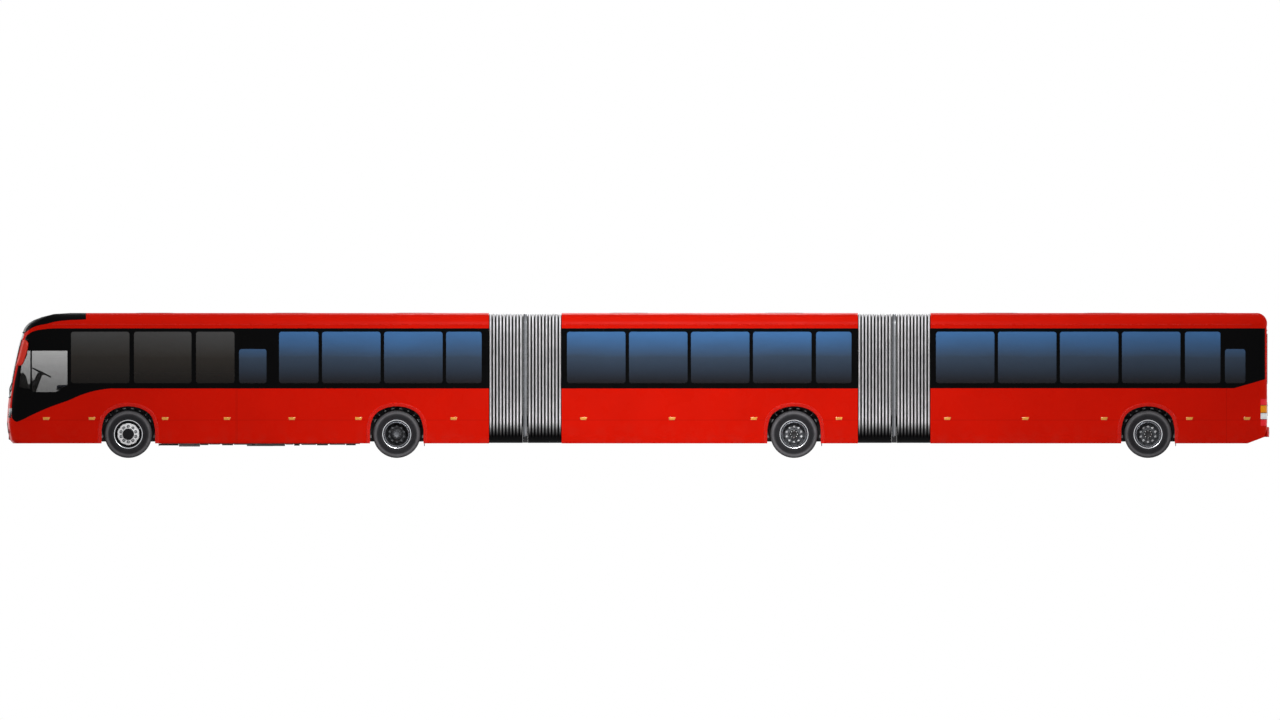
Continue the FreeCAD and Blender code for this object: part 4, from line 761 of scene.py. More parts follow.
TWIN_LOOK = {              # (disc, nuts, centre cap) of each twin wheel; the grey discs, dark grey on the drive wheels, are painted shade in the recessed dish
    "drive": (WHEEL_DARK, WHEEL_GREY, WHEEL_GREY),
    "middle": (WHEEL_GREY, SILVER, BLACK_PLASTIC),
    "rear": (WHEEL_GREY, SILVER, BLACK_PLASTIC),
}
SINGLE_PLANE, TWIN_PLANE, TWIN_OFFSET = HALF - 0.1725, HALF - 0.3425, 0.170
SCALLOPS = 10


def scallop(k, n):
    """How far the front wheels' trim ring is drawn in between its lobes."""
    return -0.013 * (1 - abs(math.sin(math.pi * SCALLOPS * k / 120))) ** 2 if n < 3 else 0.0


def wheel_form(x, side, plane, offsets, parts, studs):
    form = Form()
    for offset in offsets:
        add_tyre(form, x, side, plane + offset)
    axis = (0, side, 0)
    for steps, paint, rows in parts:
        form.turned((x, 0, WHEEL_Z), axis, rows, steps, paint, plane, scallop if paint == 3 else None)
    for count, radius, phase, out, steps, paint, rows in studs:
        for t in around(count, phase):
            spot = (x + radius * math.cos(t), side * (plane + out), WHEEL_Z + radius * math.sin(t))
            form.turned(spot, axis, rows, steps, paint)
    return form


def finish_wheel(form, name, x, paints):
    """Makes a wheel and stores its tyre's painted highlight at each point, from its radius about the axle."""
    piece = form.make(name, name, paints, name, [name], 40.0)
    radii = [math.hypot(v.co.x - x, v.co.z - WHEEL_Z) for v in piece.data.vertices]
    values = np.interp(radii, *zip(*TYRE_HIGHLIGHT_RINGS))
    piece.data.attributes.new("shoulder_highlight", "FLOAT", "POINT").data.foreach_set("value", values)


for side_name, side in SIDES:
    for label, x, _ in AXLES:
        if label == "steer":
            form = wheel_form(x, side, SINGLE_PLANE, (0.0,), SINGLE_PARTS, SINGLE_STUDS)
            form.tube([(x + a, side * (SINGLE_PLANE + out), WHEEL_Z + b) for a, out, b in
                       ((0.215, 0.060, 0.10), (0.250, 0.098, 0.13), (0.262, 0.106, 0.14))], 0.005, 1, 6)
            finish_wheel(form, f"front_{side_name}_wheel", x,
                         [TYRE_RUBBER, CHROME, WHEEL_DARK, SILVER, WHEEL_DARK, GLOSS_BLACK, STEEL])
        else:
            disc, nuts, cap = TWIN_LOOK[label]
            form = wheel_form(x, side, TWIN_PLANE, (-TWIN_OFFSET, TWIN_OFFSET), TWIN_PARTS, TWIN_STUDS)
            form.turned((x, 0, WHEEL_Z), (0, side, 0), TWIN_CAP, 60, 4 if label == "drive" else 5, TWIN_PLANE)
            finish_wheel(form, f"{label}_{side_name}_wheels", x,
                         [TYRE_RUBBER, CHROME, disc, nuts, disc, cap, BLACK_PLASTIC, MACHINED])

# ---- bellows ------------------------------------------------------------------------------------
FOLDS = 10                 # in each half of a joint
FOLD_DEPTH = 0.078
FOLD_STEPS = 10            # across one fold
HOOP_HALF = 0.058
FABRIC_OUT, FABRIC_BOTTOM, FABRIC_TOP = HALF - 0.015, SKIRT + 0.010, ROOF_TOP - 0.015
FABRIC_CORNER, LEAST_CORNER = 0.240, 0.06
FOOT_LOW, FOOT_HIGH = 0.450, 0.520     # the folds run into a plain black foot between these heights
FOLD_OVERLAP = 0.003       # of the outer folds with the cars
CLAMP_FOOT_INSET = 0.004
CLAMP_ROWS = (             # (along, inset, paint) over a clamp ring
    (-HOOP_HALF + 0.002, 0.060, 2), (-0.046, 0.055, 2), (-0.040, 0.012, 0), (-0.028, 0.004, 0), (-0.012, 0.004, 0),
    (-0.006, 0.018, 1), (0.000, 0.018, 1), (0.006, 0.000, 1), (0.014, -0.004, 1), (0.026, -0.004, 1),
    (0.034, 0.012, 2), (0.042, 0.050, 2), (HOOP_HALF - 0.002, 0.060, 2),
)


def frame_path(inset):
    """(y, z) points round the bellows frame, closed."""
    half, top, bottom = FABRIC_OUT - inset, FABRIC_TOP - inset, FABRIC_BOTTOM + inset
    corner = max(FABRIC_CORNER - inset, LEAST_CORNER)
    return rounded((-half, bottom), (half, top), corner, corner, 10)


def footed_path(inset, foot_inset=0.0):
    """The frame's outline drawn in by inset, but for its plain foot."""
    path = []
    for (wide, high), (y, z) in zip(frame_path(foot_inset), frame_path(inset)):
        share = min(max((high - FOOT_LOW) / (FOOT_HIGH - FOOT_LOW), 0.0), 1.0)
        path.append((wide + (y - wide) * share, high + (z - high) * share))
    return path


def blend_evenly(piece):
    """Bakes one fold's placement into its mesh; the fold is left straight."""
    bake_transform(piece)


def fold(name, x0, x1):
    """One convolution: a rounded crest between two grooves, all round the frame."""
    form, grooves = Form(), []
    rings = []
    for k in range(FOLD_STEPS + 1):
        u = -1.0 + 2.0 * k / FOLD_STEPS
        groove = 1.0 - math.sqrt(max(1.0 - abs(u) ** 2.4, 0.0))
        rings.append([(x0 + (x1 - x0) * k / FOLD_STEPS, y, z) for y, z in footed_path(FOLD_DEPTH * groove)])
        grooves += [groove] * len(rings[0])
    form.sheet(rings, 0, True)
    piece = form.make(name, None, [BELLOWS_FABRIC], angle=180.0, weld=False)
    piece.data.attributes.new("groove", "FLOAT", "POINT").data.foreach_set("value", grooves)
    return piece


for label, fore, aft, start_x, end_x in JOINTS:
    pivot = (start_x + end_x) / 2
    number = 0
    for low, high in ((start_x - FOLD_OVERLAP, pivot - HOOP_HALF), (pivot + HOOP_HALF, end_x + FOLD_OVERLAP)):
        pitch = (high - low) / FOLDS
        for k in range(FOLDS):
            x0, x1 = low + pitch * k, low + pitch * (k + 1)
            piece = fold(f"{label}_bellows_fold_{number + 1:02d}", x0, x1)
            blend_evenly(piece)
            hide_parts(f"{label}_bellows")
            number += 1
    clamp = Form()
    rings = [[(pivot + out, y, z) for y, z in footed_path(inset, CLAMP_FOOT_INSET)] for out, inset, _ in CLAMP_ROWS]
    for ring, after, (_, _, paint) in zip(rings, rings[1:], CLAMP_ROWS):
        for n in range(len(ring)):
            low_down = max(ring[n - 1][2], ring[n][2]) < FOOT_HIGH
            clamp.add([ring[n - 1], ring[n], after[n], after[n - 1]], [(0, 1, 2, 3)], 2 if low_down else paint)
    clamp.make(f"{label}_bellows_clamp", f"{label}_joint", [WHEEL_GREY, STEEL, BLACK_PLASTIC], f"{label}_joint_hoop",
               angle=40.0)

# ---- arches, gutters, marker lamps --------------------------------------------------------------
ARCH_KNOTS = ((-1.0, -0.5), (-1.0, 0.0), (-0.86, 0.575), (-0.5, 0.89), (0.0, 1.0), (0.5, 0.89), (0.86, 0.575),
              (1.0, 0.0), (1.0, -0.5))
LIP_SECTION = ((-0.001, -0.012), (-0.001, 0.004), (0.004, 0.008), (0.050, 0.009), (0.060, 0.011), (0.066, 0.012),
               (0.072, 0.009), (0.080, 0.000))
GUTTER_Z = 2.918
GUTTER_SECTION = ((0.0, -0.002), (0.002, 0.006), (0.012, 0.008), (0.020, 0.004), (0.024, -0.004))


def arch_path(x):
    """The wheel arch's edge in the side view, from its foot ahead of the wheel to its foot behind."""
    half, shoulder, top = TYRE_RADIUS + 0.066, TYRE_RADIUS + 0.092, 2 * TYRE_RADIUS + 0.090
    knots = np.array(ARCH_KNOTS)
    line = []
    for before, a, b, after in zip(knots, knots[1:], knots[2:], knots[3:]):
        for t in evenly(0, 1, 8)[:-1]:
            line.append(0.5 * (2 * a + (b - before) * t + (2 * before - 5 * a + 4 * b - after) * t * t
                               + (3 * a - before - 3 * b + after) * t ** 3))
    foot = [(half, (SKIRT + shoulder) / 2), (half, SKIRT + 0.002)]
    return ([(x - a, z) for a, z in foot[::-1]]
            + [(x + half * a, shoulder + (top - shoulder) * b) for a, b in line + [knots[-2]]]
            + [(x + a, z) for a, z in foot])


def moulding(name, car, path, section, slot, angle):
    form = Form()
    for _, side in SIDES:
        form.swept(path, section, side)
    form.make(name, f"{car}_car", [PLAIN_RED], slot, angle=angle, weld=False)


for label, x, car in AXLES:
    moulding(f"{label}_arch_lips", car, arch_path(x), LIP_SECTION, f"{car}_left_side", 50.0)
for car, x0, x1 in (("front", -12.85, FRONT_END_X - 0.002), ("middle", MIDDLE_START_X + 0.002, MIDDLE_END_X - 0.002),
                    ("rear", REAR_START_X + 0.002, 13.46)):
    moulding(f"{car}_gutter_rails", car, [(x0, GUTTER_Z), (x1, GUTTER_Z)], GUTTER_SECTION, f"{car}_roof", 30.0)

MARKERS = {                # x of each side marker lamp's middle
    "front": (-12.974, -11.974, -10.366, -9.010, -7.588, -6.127, -4.037),
    "middle": (-1.193, 0.748, 2.542, 4.410),
    "rear": (6.787, 8.498, 10.226, 12.095, 13.358),
}
MARKER_Z = 0.866
MARKER_SHAPES = (          # ((x, z) corners, proud from, to, paint, edge, parts) of its rim and its lens
    (((-0.084, 0.033), (0.088, 0.033), (0.060, -0.039), (-0.076, -0.039)), -0.002, 0.004, 1, 0.0015, 1),
    (((-0.076, 0.029), (0.078, 0.029), (0.054, -0.031), (-0.068, -0.031)), 0.003, 0.016, 0, 0.005, 2),
)
for car, places in MARKERS.items():
    form = Form()
    for x in places:
        for _, side in SIDES:
            for corners, y0, y1, *look in MARKER_SHAPES:
                form.prism([(x + a, MARKER_Z + b) for a, b in corners], (side * (HALF + y0), side * (HALF + y1)), *look)
    form.make(f"{car}_marker_lamps", f"{car}_car", [AMBER, MIRROR_RED], f"{car}_left_side")

# ---- wheel arches: inner walls, splash guards, flaps --------------------------------------------
LINER_TOP = 0.875
HANGERS = ((31, 0.070), (47, 0.020), (63, 0.036), (81, 0.062))      # (degrees, half width in radians)
for label, x, car in AXLES:
    depth, half, flap_depth = (0.685, 0.688, 0.34) if label == "steer" else (0.708, 0.622, 0.66)
    form = Form()
    for _, side in SIDES:
        wall, guard, clip, flange = (side * (HALF - inward) for inward in (depth, 0.065, 0.055, 0.060))
        for way in (-1, 1):
            end, fold_x, clip_x = x + way * half, x + way * (half - 0.006), x + way * (TYRE_RADIUS + 0.050)
            form.block((x + way * 0.150, wall - side * 0.004, 0.36),
                       (x + way * (half - 0.01), wall + side * 0.004, LINER_TOP), 0, 0.002, 1)
            form.block((fold_x, wall, 0.34), (end, guard, LINER_TOP), 0, 0.002, 1)
            for rib in (0.46, 0.60, 0.74):
                form.block((x + way * (half - 0.018), wall + side * 0.05, rib - 0.006),
                           (fold_x, side * (HALF - 0.10), rib + 0.006), 0, 0.003, 1)
            form.block((clip_x - 0.020, side * (HALF - 0.090), 0.440), (clip_x + 0.020, clip, 0.500), 1, 0.004, 1)
            form.block((clip_x - 0.030, side * (HALF - 0.085), 0.900), (clip_x + 0.016, flange, 0.965), 1, 0.004, 1)
            near, far = TYRE_RADIUS + 0.024, TYRE_RADIUS + 0.040
            for turn, reach in HANGERS:
                for r0, r1, wide, y0, y1, paint in ((near, far, reach, 0.070, 0.034, 1),
                                                    (near + 0.008, far + 0.080, 0.012, 0.056, 0.044, 0)):
                    form.prism([(x + way * r * math.cos(math.radians(turn) + d),
                                 TYRE_RADIUS + 0.012 + r * math.sin(math.radians(turn) + d))
                                for r, d in ((r0, -wide), (r0, wide), (r1, wide), (r1, -wide))],
                               (side * (HALF - y0), side * (HALF - y1)), paint, 0.003, 1)
            form.tube([(clip_x, side * (HALF - 0.075), 0.47), (clip_x + way * 0.02, side * (HALF - 0.16), 0.60),
                       (x + way * (half - 0.02), side * (HALF - 0.30), 0.66)], 0.008, 1, 8)
        flap_x = x + half - 0.020
        form.prism([(flap_x - 0.008, 0.80), (flap_x - 0.004, 0.27), (flap_x + 0.004, 0.255), (flap_x + 0.012, 0.27),
                    (flap_x + 0.008, 0.80)], (side * (HALF - flap_depth), side * (HALF - 0.085)), 2, 0.003, 1)
        form.block((flap_x + 0.002, side * (HALF - 0.10), 0.42), (flap_x + 0.016, clip, 0.45), 3, 0.003, 1)
    form.make(f"{label}_arch_liners", f"{car}_car", [CHASSIS, GREY_PAINT, RUBBER, STEEL], f"{car}_underframe")

# ---- mirrors ------------------------------------------------------------------------------------
MIRROR_ROWS = (            # (z, front x, back x) of the housing, from its top to its foot
    (2.588, -13.470, -13.440), (2.574, -13.484, -13.410), (2.548, -13.494, -13.384), (2.512, -13.504, -13.362),
    (2.440, -13.522, -13.370), (2.373, -13.539, -13.380), (2.280, -13.564, -13.404), (2.180, -13.594, -13.436),
    (2.100, -13.622, -13.466), (2.060, -13.636, -13.486), (2.034, -13.648, -13.516), (2.022, -13.655, -13.556),
)
MIRROR_Y = (HALF + 0.022, HALF + 0.228)
MIRROR_STEPS = 28
MIRROR_TOP = ((-13.330, 1.120, 2.560), (-13.350, 1.190, 2.585), (-13.380, 1.260, 2.598), (-13.420, 1.330, 2.592),
              (-13.440, 1.390, 2.572))
MIRROR_STAY = ((-13.395, 1.300, 2.290), (-13.430, 1.320, 2.200), (-13.500, 1.340, 2.110), (-13.580, 1.360, 2.040),
               (-13.612, 1.370, 2.022))


def signed_power(value, power):
    return math.copysign(abs(value) ** power, value)


for side_name, side in SIDES:
    shell, panes, arms = Form(), Form(), Form()
    low_y, high_y = MIRROR_Y
    rings = []
    for number, (z, x0, x1) in enumerate(MIRROR_ROWS):
        ends = (max(0.0, 1.0 - n / 2.5) ** 2 for n in (number, len(MIRROR_ROWS) - 1 - number))
        half_y = (high_y - low_y) / 2 * (1.0 - 0.45 * sum(ends))
        rings.append([((x0 + x1) / 2 + (x1 - x0) / 2 * signed_power(math.cos(t), 0.62 if math.cos(t) > 0 else 0.95),
                       side * ((low_y + high_y) / 2 + half_y * signed_power(math.sin(t), 0.62)), z)
                      for t in around(MIRROR_STEPS)])
    shell.sheet(rings, 0, True)
    for ring in (rings[0], rings[-1]):
        shell.add(ring, [tuple(range(MIRROR_STEPS))])
    shell.make(f"{side_name}_mirror_shell", "front_car", [MIRROR_RED], "mirrors", ["mirrors"], 50.0)
    rows = MIRROR_ROWS[3:10]
    for inset, lift, paint in ((0.000, 0.004, 0), (0.016, 0.007, 1)):
        trimmed = {0: -0.4 * inset, len(rows) - 1: 0.4 * inset}
        panes.sheet([[(x1 + lift, side * y, z + trimmed.get(n, 0.0))
                      for y in (low_y + 0.018 + inset, high_y - 0.018 - inset)]
                     for n, (z, _, x1) in enumerate(rows)], paint)
    z, _, x = MIRROR_ROWS[7]
    panes.block((x - 0.002, side * (low_y + 0.020), z - 0.006),
                (x + 0.011, side * (high_y - 0.020), z + 0.006), 0, 0.002, 1)
    panes.make(f"{side_name}_mirror_glass", "front_car", [BLACK_PLASTIC, MIRROR_GLASS], "mirrors", ["mirrors"], 50.0)
    for path, radius, sides in ((MIRROR_TOP, 0.017, 12), (MIRROR_STAY, 0.008, 8)):
        arms.tube([(x, side * y, z) for x, y, z in path], radius, 0, sides)
    arms.turned((-13.330, side * 1.125, 2.560), (-0.3, side, 0.2),
                [(-0.012, 0.0), (-0.012, 0.036), (0.004, 0.036), (0.014, 0.024), (0.014, 0.0)], 20)
    arms.make(f"{side_name}_mirror_arms", "front_car", [BLACK_PLASTIC], "mirrors", ["mirrors"])

# ---- headlamps ----------------------------------------------------------------------------------
HEADLAMPS = ((0.845, 0.060, 0.030), (0.975, 0.060, 0.030), (1.100, 0.050, 0.070))      # (y, radius, depth)
HEADLAMP_Z = 0.985


def node_part(node, keep, push=0.0):
    """Part of a CAD node's surface, pushed out a little along its normals."""
    mesh = bmesh.new()
    mesh.from_mesh(NODES[node].data)
    unwanted = [f for f in mesh.faces if not keep(f.calc_center_median(), f.normal)]
    bmesh.ops.delete(mesh, geom=unwanted, context="FACES")
    bmesh.ops.remove_doubles(mesh, verts=mesh.verts, dist=0.0001)
    mesh.normal_update()
    for v in mesh.verts:
        v.co += v.normal * push
    form = Form()
    form.take(mesh, 0)
    return form


lamp_points = np.array([v.co for v in NODES["headlamps"].data.vertices])
for side_name, side in SIDES:
    cover = node_part("headlamps", lambda c, n: c.y * side > 0 and n.x < -0.15)
    cover.make(f"{side_name}_headlamp_cover", "front_car", [CLEAR], "headlamps", ["headlamps"], 30.0)
    form = node_part("headlamps", lambda c, n: c.y * side > 0 and n.x >= -0.15, -0.002)
    for y, radius, depth in HEADLAMPS:
        near = (lamp_points[:, 1] * side > 0) & (np.abs(np.abs(lamp_points[:, 1]) - y) < 0.09)
        place, axis = (lamp_points[near, 0].min() + depth, side * y, HEADLAMP_Z), (-1, 0, 0)
        form.turned(place, axis, [(0.000, radius), (-0.010, radius * 0.93), (-0.034, radius * 0.72),
                                  (-0.052, radius * 0.36), (-0.052, 0.0)], 32, 1)
        form.turned(place, axis, [(0.002, radius + 0.006), (0.004, radius), (-0.004, radius - 0.004)], 32, 2)
        form.turned(place, axis, [(-0.052, 0.016), (-0.020, 0.015), (-0.012, 0.010), (-0.010, 0.0)], 16, 3)
    form.make(f"{side_name}_headlamp_body", "front_car", [BLACK_PLASTIC, REFLECTOR, STEEL, WHITE_LENS], "headlamps",
              ["headlamps"], 30.0)

# ---- windscreen surround, wipers, display -------------------------------------------------------
FACE_END_X, FACE_HALF, FACE_BOW = -13.0, 1.075, 0.040
screen = np.array([v.co for v in NODES["windscreen"].data.vertices])
screen = screen[np.abs(screen[:, 1]) < FACE_HALF]
SCREEN_HALF = float(np.abs(screen[:, 1]).max())
SCREEN_LOW, SCREEN_HIGH = float(screen[:, 2].min()), float(screen[:, 2].max())
face = {}                  # the foremost x at each height of the middle of the face
for node in ("nose", "windscreen", "front_roof"):
    for v in NODES[node].data.vertices:
        if v.co.x < FACE_END_X and abs(v.co.y) < FACE_HALF:
            key = round(v.co.z, 2)
            face[key] = min(face.get(key, 9.0), v.co.x)
FACE = list(zip(*sorted(face.items())))


def face_x(y, z):
    """The outer face's x at a place on the front: its middle line, bowed back towards the corners."""
    return float(np.interp(z, *FACE)) + FACE_BOW * (abs(y) / HALF) ** 2


def on_face(places, off=0.0):
    return [(face_x(y, z) + off, y, z) for y, z in places]


def face_sheet(form, ys, zs, off, paint):
    form.sheet([on_face([(y, z) for z in zs], off) for y in ys], paint)


ys, zs = evenly(-SCREEN_HALF, SCREEN_HALF, 24), evenly(SCREEN_HIGH, SCREEN_LOW, 16)
form = Form()
form.tube(on_face([(y, SCREEN_HIGH) for y in ys] + [(SCREEN_HALF, z) for z in zs[1:]]
                  + [(y, SCREEN_LOW) for y in ys[-2::-1]] + [(-SCREEN_HALF, z) for z in zs[-2:0:-1]], 0.002),
          0.013, 0, 10, True)
for low, high in ((SCREEN_LOW, SCREEN_LOW + 0.085), (SCREEN_HIGH - 0.330, SCREEN_HIGH)):
    face_sheet(form, evenly(-SCREEN_HALF + 0.006, SCREEN_HALF - 0.006, 24), evenly(low, high, 6), 0.016, 1)
form.make("windscreen_surround", "front_car", [RUBBER, GLOSS_BLACK], "windscreen", angle=40.0)

form = Form()
for side in (-1, 1):
    root_y, tip_y = side * 0.10 - 0.06, side * 0.62 - 0.05
    pivot = (face_x(root_y, 1.27) - 0.012, root_y, 1.270)
    elbow = on_face([(root_y + side * 0.10, 1.36)], -0.026)[0]
    form.tube([pivot, elbow, (face_x(tip_y, 1.52) - 0.020, tip_y - side * 0.06, 1.520)], 0.009, 0, 8)
    blade = [(face_x(tip_y + side * (k - 4) * 0.085, 1.40 + 0.03 * k) - 0.012, tip_y + side * (k - 4) * 0.085,
              1.400 + 0.030 * k) for k in range(9)]
    form.tube(blade, 0.007, 1, 6)
    form.tube([(p[0] - 0.010, p[1], p[2] + 0.004) for p in blade[2:7]], 0.005, 0, 6)
    form.turned((pivot[0] + 0.010, *pivot[1:]), (-1, 0, 0),
                [(-0.01, 0.026), (0.018, 0.026), (0.026, 0.016), (0.026, 0.0)], 20)
form.make("windscreen_wipers", "front_car", [BLACK_PLASTIC, RUBBER], "nose")

form = Form()
x = face_x(0.6, 2.52) + 0.10
form.block((x, -0.78, 2.440), (x + 0.10, 0.78, 2.690), 0, 0.012, 2)
form.block((x - 0.004, -0.74, 2.470), (x + 0.004, 0.74, 2.660), 1, 0.003, 1)
for row in range(9):
    for column in range(70):
        y, z = -0.725 + column * 0.0210, 2.484 + row * 0.0203
        form.sheet([[(x - 0.005, y + a, z + b) for a in (-0.006, 0.006)] for b in (-0.006, 0.006)], 2)
form.make("destination_display", "front_car", [BLACK_PLASTIC, GLOSS_BLACK, DASH_PLASTIC], "cockpit")

# ---- front face: grille, fog lamps, recess for a number plate, seams ----------------------------
GRILLE_HALF = 0.64
form = Form()
for k in range(6):
    z = 0.585 + k * 0.040
    form.sheet([[(face_x(y, z) + off, y, z + rise) for off, rise in
                 ((0.004, 0.013), (-0.002, 0.010), (-0.003, -0.004), (0.004, -0.013))]
                for y in evenly(-GRILLE_HALF + 0.02, GRILLE_HALF - 0.02, 20)])
ys = evenly(-GRILLE_HALF, GRILLE_HALF, 20)
face_sheet(form, ys, (0.560, 0.630, 0.700, 0.770, 0.812), -0.0008, 1)
form.tube(on_face([(y, 0.815) for y in ys] + [(0.65, 0.80), (0.65, 0.57)] + [(y, 0.557) for y in ys[::-1]]
                  + [(-0.65, 0.57), (-0.65, 0.80)], 0.003), 0.007, 0, 8, True)
form.make("front_grille", "front_car", [BLACK_PLASTIC, RUBBER], "nose", angle=35.0)

form = Form()
for _, side in SIDES:
    for y, radius, depth, paint in ((0.860, 0.052, 0.010, 1), (0.985, 0.040, 0.014, 2)):
        place = (face_x(side * y, 0.60) + depth, side * y, 0.600)
        form.turned(place, (-1, 0, 0), [(-0.010, radius + 0.012), (0.004, radius + 0.010), (0.006, radius + 0.004),
                                        (0.001, radius)], 32)
        form.turned(place, (-1, 0, 0), [(0.001, radius), (0.005, radius * 0.7), (0.006, 0.0)], 32, paint)
x = face_x(0.0, 0.46)
form.block((x - 0.010, -0.270, 0.400), (x + 0.030, 0.270, 0.525), 0, 0.006, 2)
form.block((x - 0.014, -0.255, 0.408), (x - 0.006, 0.255, 0.517), 3, 0.003, 1)
form.make("front_fog_lamps", "front_car", [BLACK_PLASTIC, WHITE_LENS, AMBER, SILVER], "nose")

form = Form()
for z, reach in ((0.845, 0.74), (1.250, 1.20), (0.520, 1.12)):
    form.tube(on_face([(y, z) for y in evenly(-reach, reach, 40)], -0.0005), 0.0032, 0, 6)
form.make("front_seams", "front_car", [RUBBER], "nose")

# ---- doors --------------------------------------------------------------------------------------
LEAF_MARGIN, POST_MARGIN, FREE_MARGIN = 0.060, 0.010, 0.020
HANDLE = ((0.10, 0.002), (0.14, 0.050), (0.60, 0.055), (1.02, 0.050), (1.06, 0.002))       # (z, inward)
for body, car, leaf in LEAVES:
    low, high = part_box(body)
    y = (low.y + high.y) / 2
    fore = leaf == "fore"
    x0 = low.x + LEAF_MARGIN + (POST_MARGIN + FREE_MARGIN if fore else 0.0)
    x1 = high.x - LEAF_MARGIN - (0.0 if fore else POST_MARGIN + FREE_MARGIN)
    z0, z1 = low.z + 0.260, high.z - 0.090
    form = Form()
    form.prism([(x0 + 0.03, z0 - 0.012), (x1 - 0.03, z0 - 0.012), (x1 + 0.012, z0 + 0.03), (x1 + 0.012, z1 - 0.03),
                (x1 - 0.03, z1 + 0.012), (x0 + 0.03, z1 + 0.012), (x0 - 0.012, z1 - 0.03), (x0 - 0.012, z0 + 0.03)],
               (y - 0.004, y + 0.004), 0, 0.001, 1)
    form.make(f"{body}_glass", body, [DOOR_GLASS], body)
    form = Form()
    for seal_y in (y + 0.018, y - 0.018):
        form.tube([(a, seal_y, b) for a, b in rounded((x0, z0), (x1, z1), 0.055, 0.060, 6)], 0.010, 0, 8, True)
    free_x, way = (high.x, -1) if fore else (low.x, 1)
    form.block((free_x + way * 0.002, low.y + 0.004, low.z + 0.01),
               (free_x + way * 0.022, high.y + 0.002, high.z - 0.01), 0, 0.006, 2)
    form.block((low.x + 0.03, y - 0.012, low.z - 0.006), (high.x - 0.03, y + 0.012, low.z + 0.006), 0, 0.004, 1)
    rail_x = free_x + way * 0.110
    form.tube([(rail_x, low.y - inward, z0 + rise) for rise, inward in HANDLE], 0.014, 1, 10)
    for rise, _ in (HANDLE[0], HANDLE[-1]):
        form.turned((rail_x, low.y, z0 + rise), (0, -1, 0), [(0.0, 0.028), (0.006, 0.028), (0.010, 0.016)], 16, 1)
    form.make(f"{body}_trim", body, [RUBBER, POLE], body)
    paint_node(body, PAINTS[car])

# ---- seats --------------------------------------------------------------------------------------
PAD_VOXEL, PAD_MOVE, PAD_KEPT = 0.011, 0.024, 0.30
CLOTH_FRAMES = 20
GROOVE_DEPTH, GROOVE_WIDTH = 0.010, 0.010
CLOTH = {"quality": 5, "mass": 0.4, "tension_stiffness": 15, "compression_stiffness": 15, "bending_stiffness": 0.5,
         "use_pressure": True, "uniform_pressure_force": 4.0}


def stuffed(name, size, grooves):
    """A pad blown up as cloth from a rounded block, with sewn channels pressed in, and thinned to fewer faces."""
    mesh = bmesh.new()
    bmesh.ops.create_cube(mesh, size=1.0)
    for v in mesh.verts:
        v.co *= Vector(size)
    bmesh.ops.bevel(mesh, geom=list(mesh.edges), offset=min(size) * 0.30, segments=3, profile=0.6, affect="EDGES")
    data = bpy.data.meshes.new(name)
    mesh.to_mesh(data)
    mesh.free()
    pad = placed(name, data)
    remesh = pad.modifiers.new("remesh", "REMESH")
    remesh.mode = "VOXEL"
    remesh.voxel_size = PAD_VOXEL
    pad.data = bpy.data.meshes.new_from_object(pad.evaluated_get(bpy.context.evaluated_depsgraph_get()))
    pad.modifiers.clear()
    start = np.array([v.co for v in pad.data.vertices])
    cloth = pad.modifiers.new("cloth", "CLOTH")
    for setting, value in CLOTH.items():
        setattr(cloth.settings, setting, value)
    cloth.settings.effector_weights.gravity = 0.0
    cloth.point_cache.frame_start, cloth.point_cache.frame_end = 1, CLOTH_FRAMES
    for number in range(1, CLOTH_FRAMES + 1):
        bpy.context.scene.frame_set(number)
    result = pad.evaluated_get(bpy.context.evaluated_depsgraph_get()).data
    moved = np.array([v.co for v in result.vertices])
    pad.modifiers.clear()
    bpy.context.scene.frame_set(1)
    shift = moved - start
    length = np.linalg.norm(shift, axis=1, keepdims=True)
    moved = start + shift * np.minimum(1.0, PAD_MOVE / np.maximum(length, 1e-9))
    upper = moved[:, 2] > 0
    for place in grooves:
        depth = GROOVE_DEPTH * np.exp(-((moved[:, 0] - place) / GROOVE_WIDTH) ** 2)
        moved[upper, 2] -= depth[upper]
    pad.data.vertices.foreach_set("co", moved.ravel())
    pad.modifiers.new("thin", "DECIMATE").ratio = PAD_KEPT
    result = bpy.data.meshes.new_from_object(pad.evaluated_get(bpy.context.evaluated_depsgraph_get()))
    bpy.data.objects.remove(pad)
    return [v.co.copy() for v in result.vertices], [tuple(f.vertices) for f in result.polygons]


def edge_loop(points, reach=0.012, count=40):
    """The widest line round a pad at its middle height, for its piping."""
    flat = [(math.atan2(p.y, p.x), math.hypot(p.x, p.y), p) for p in points if abs(p.z) < reach]
    loop = []
    for turn in around(count, 0.5):
        near = [(d, p) for a, d, p in flat if abs(a - turn + math.pi) < math.pi / count]
        if near:
            distance, point = max(near, key=lambda row: row[0])
            place = Vector((point.x, point.y, 0.0)) * (1.0 + 0.0015 / distance) + Vector((0.0, 0.0, point.z * 0.3))
            if not loop or (place - loop[-1]).length > 0.008:
                loop.append(place)
    return loop


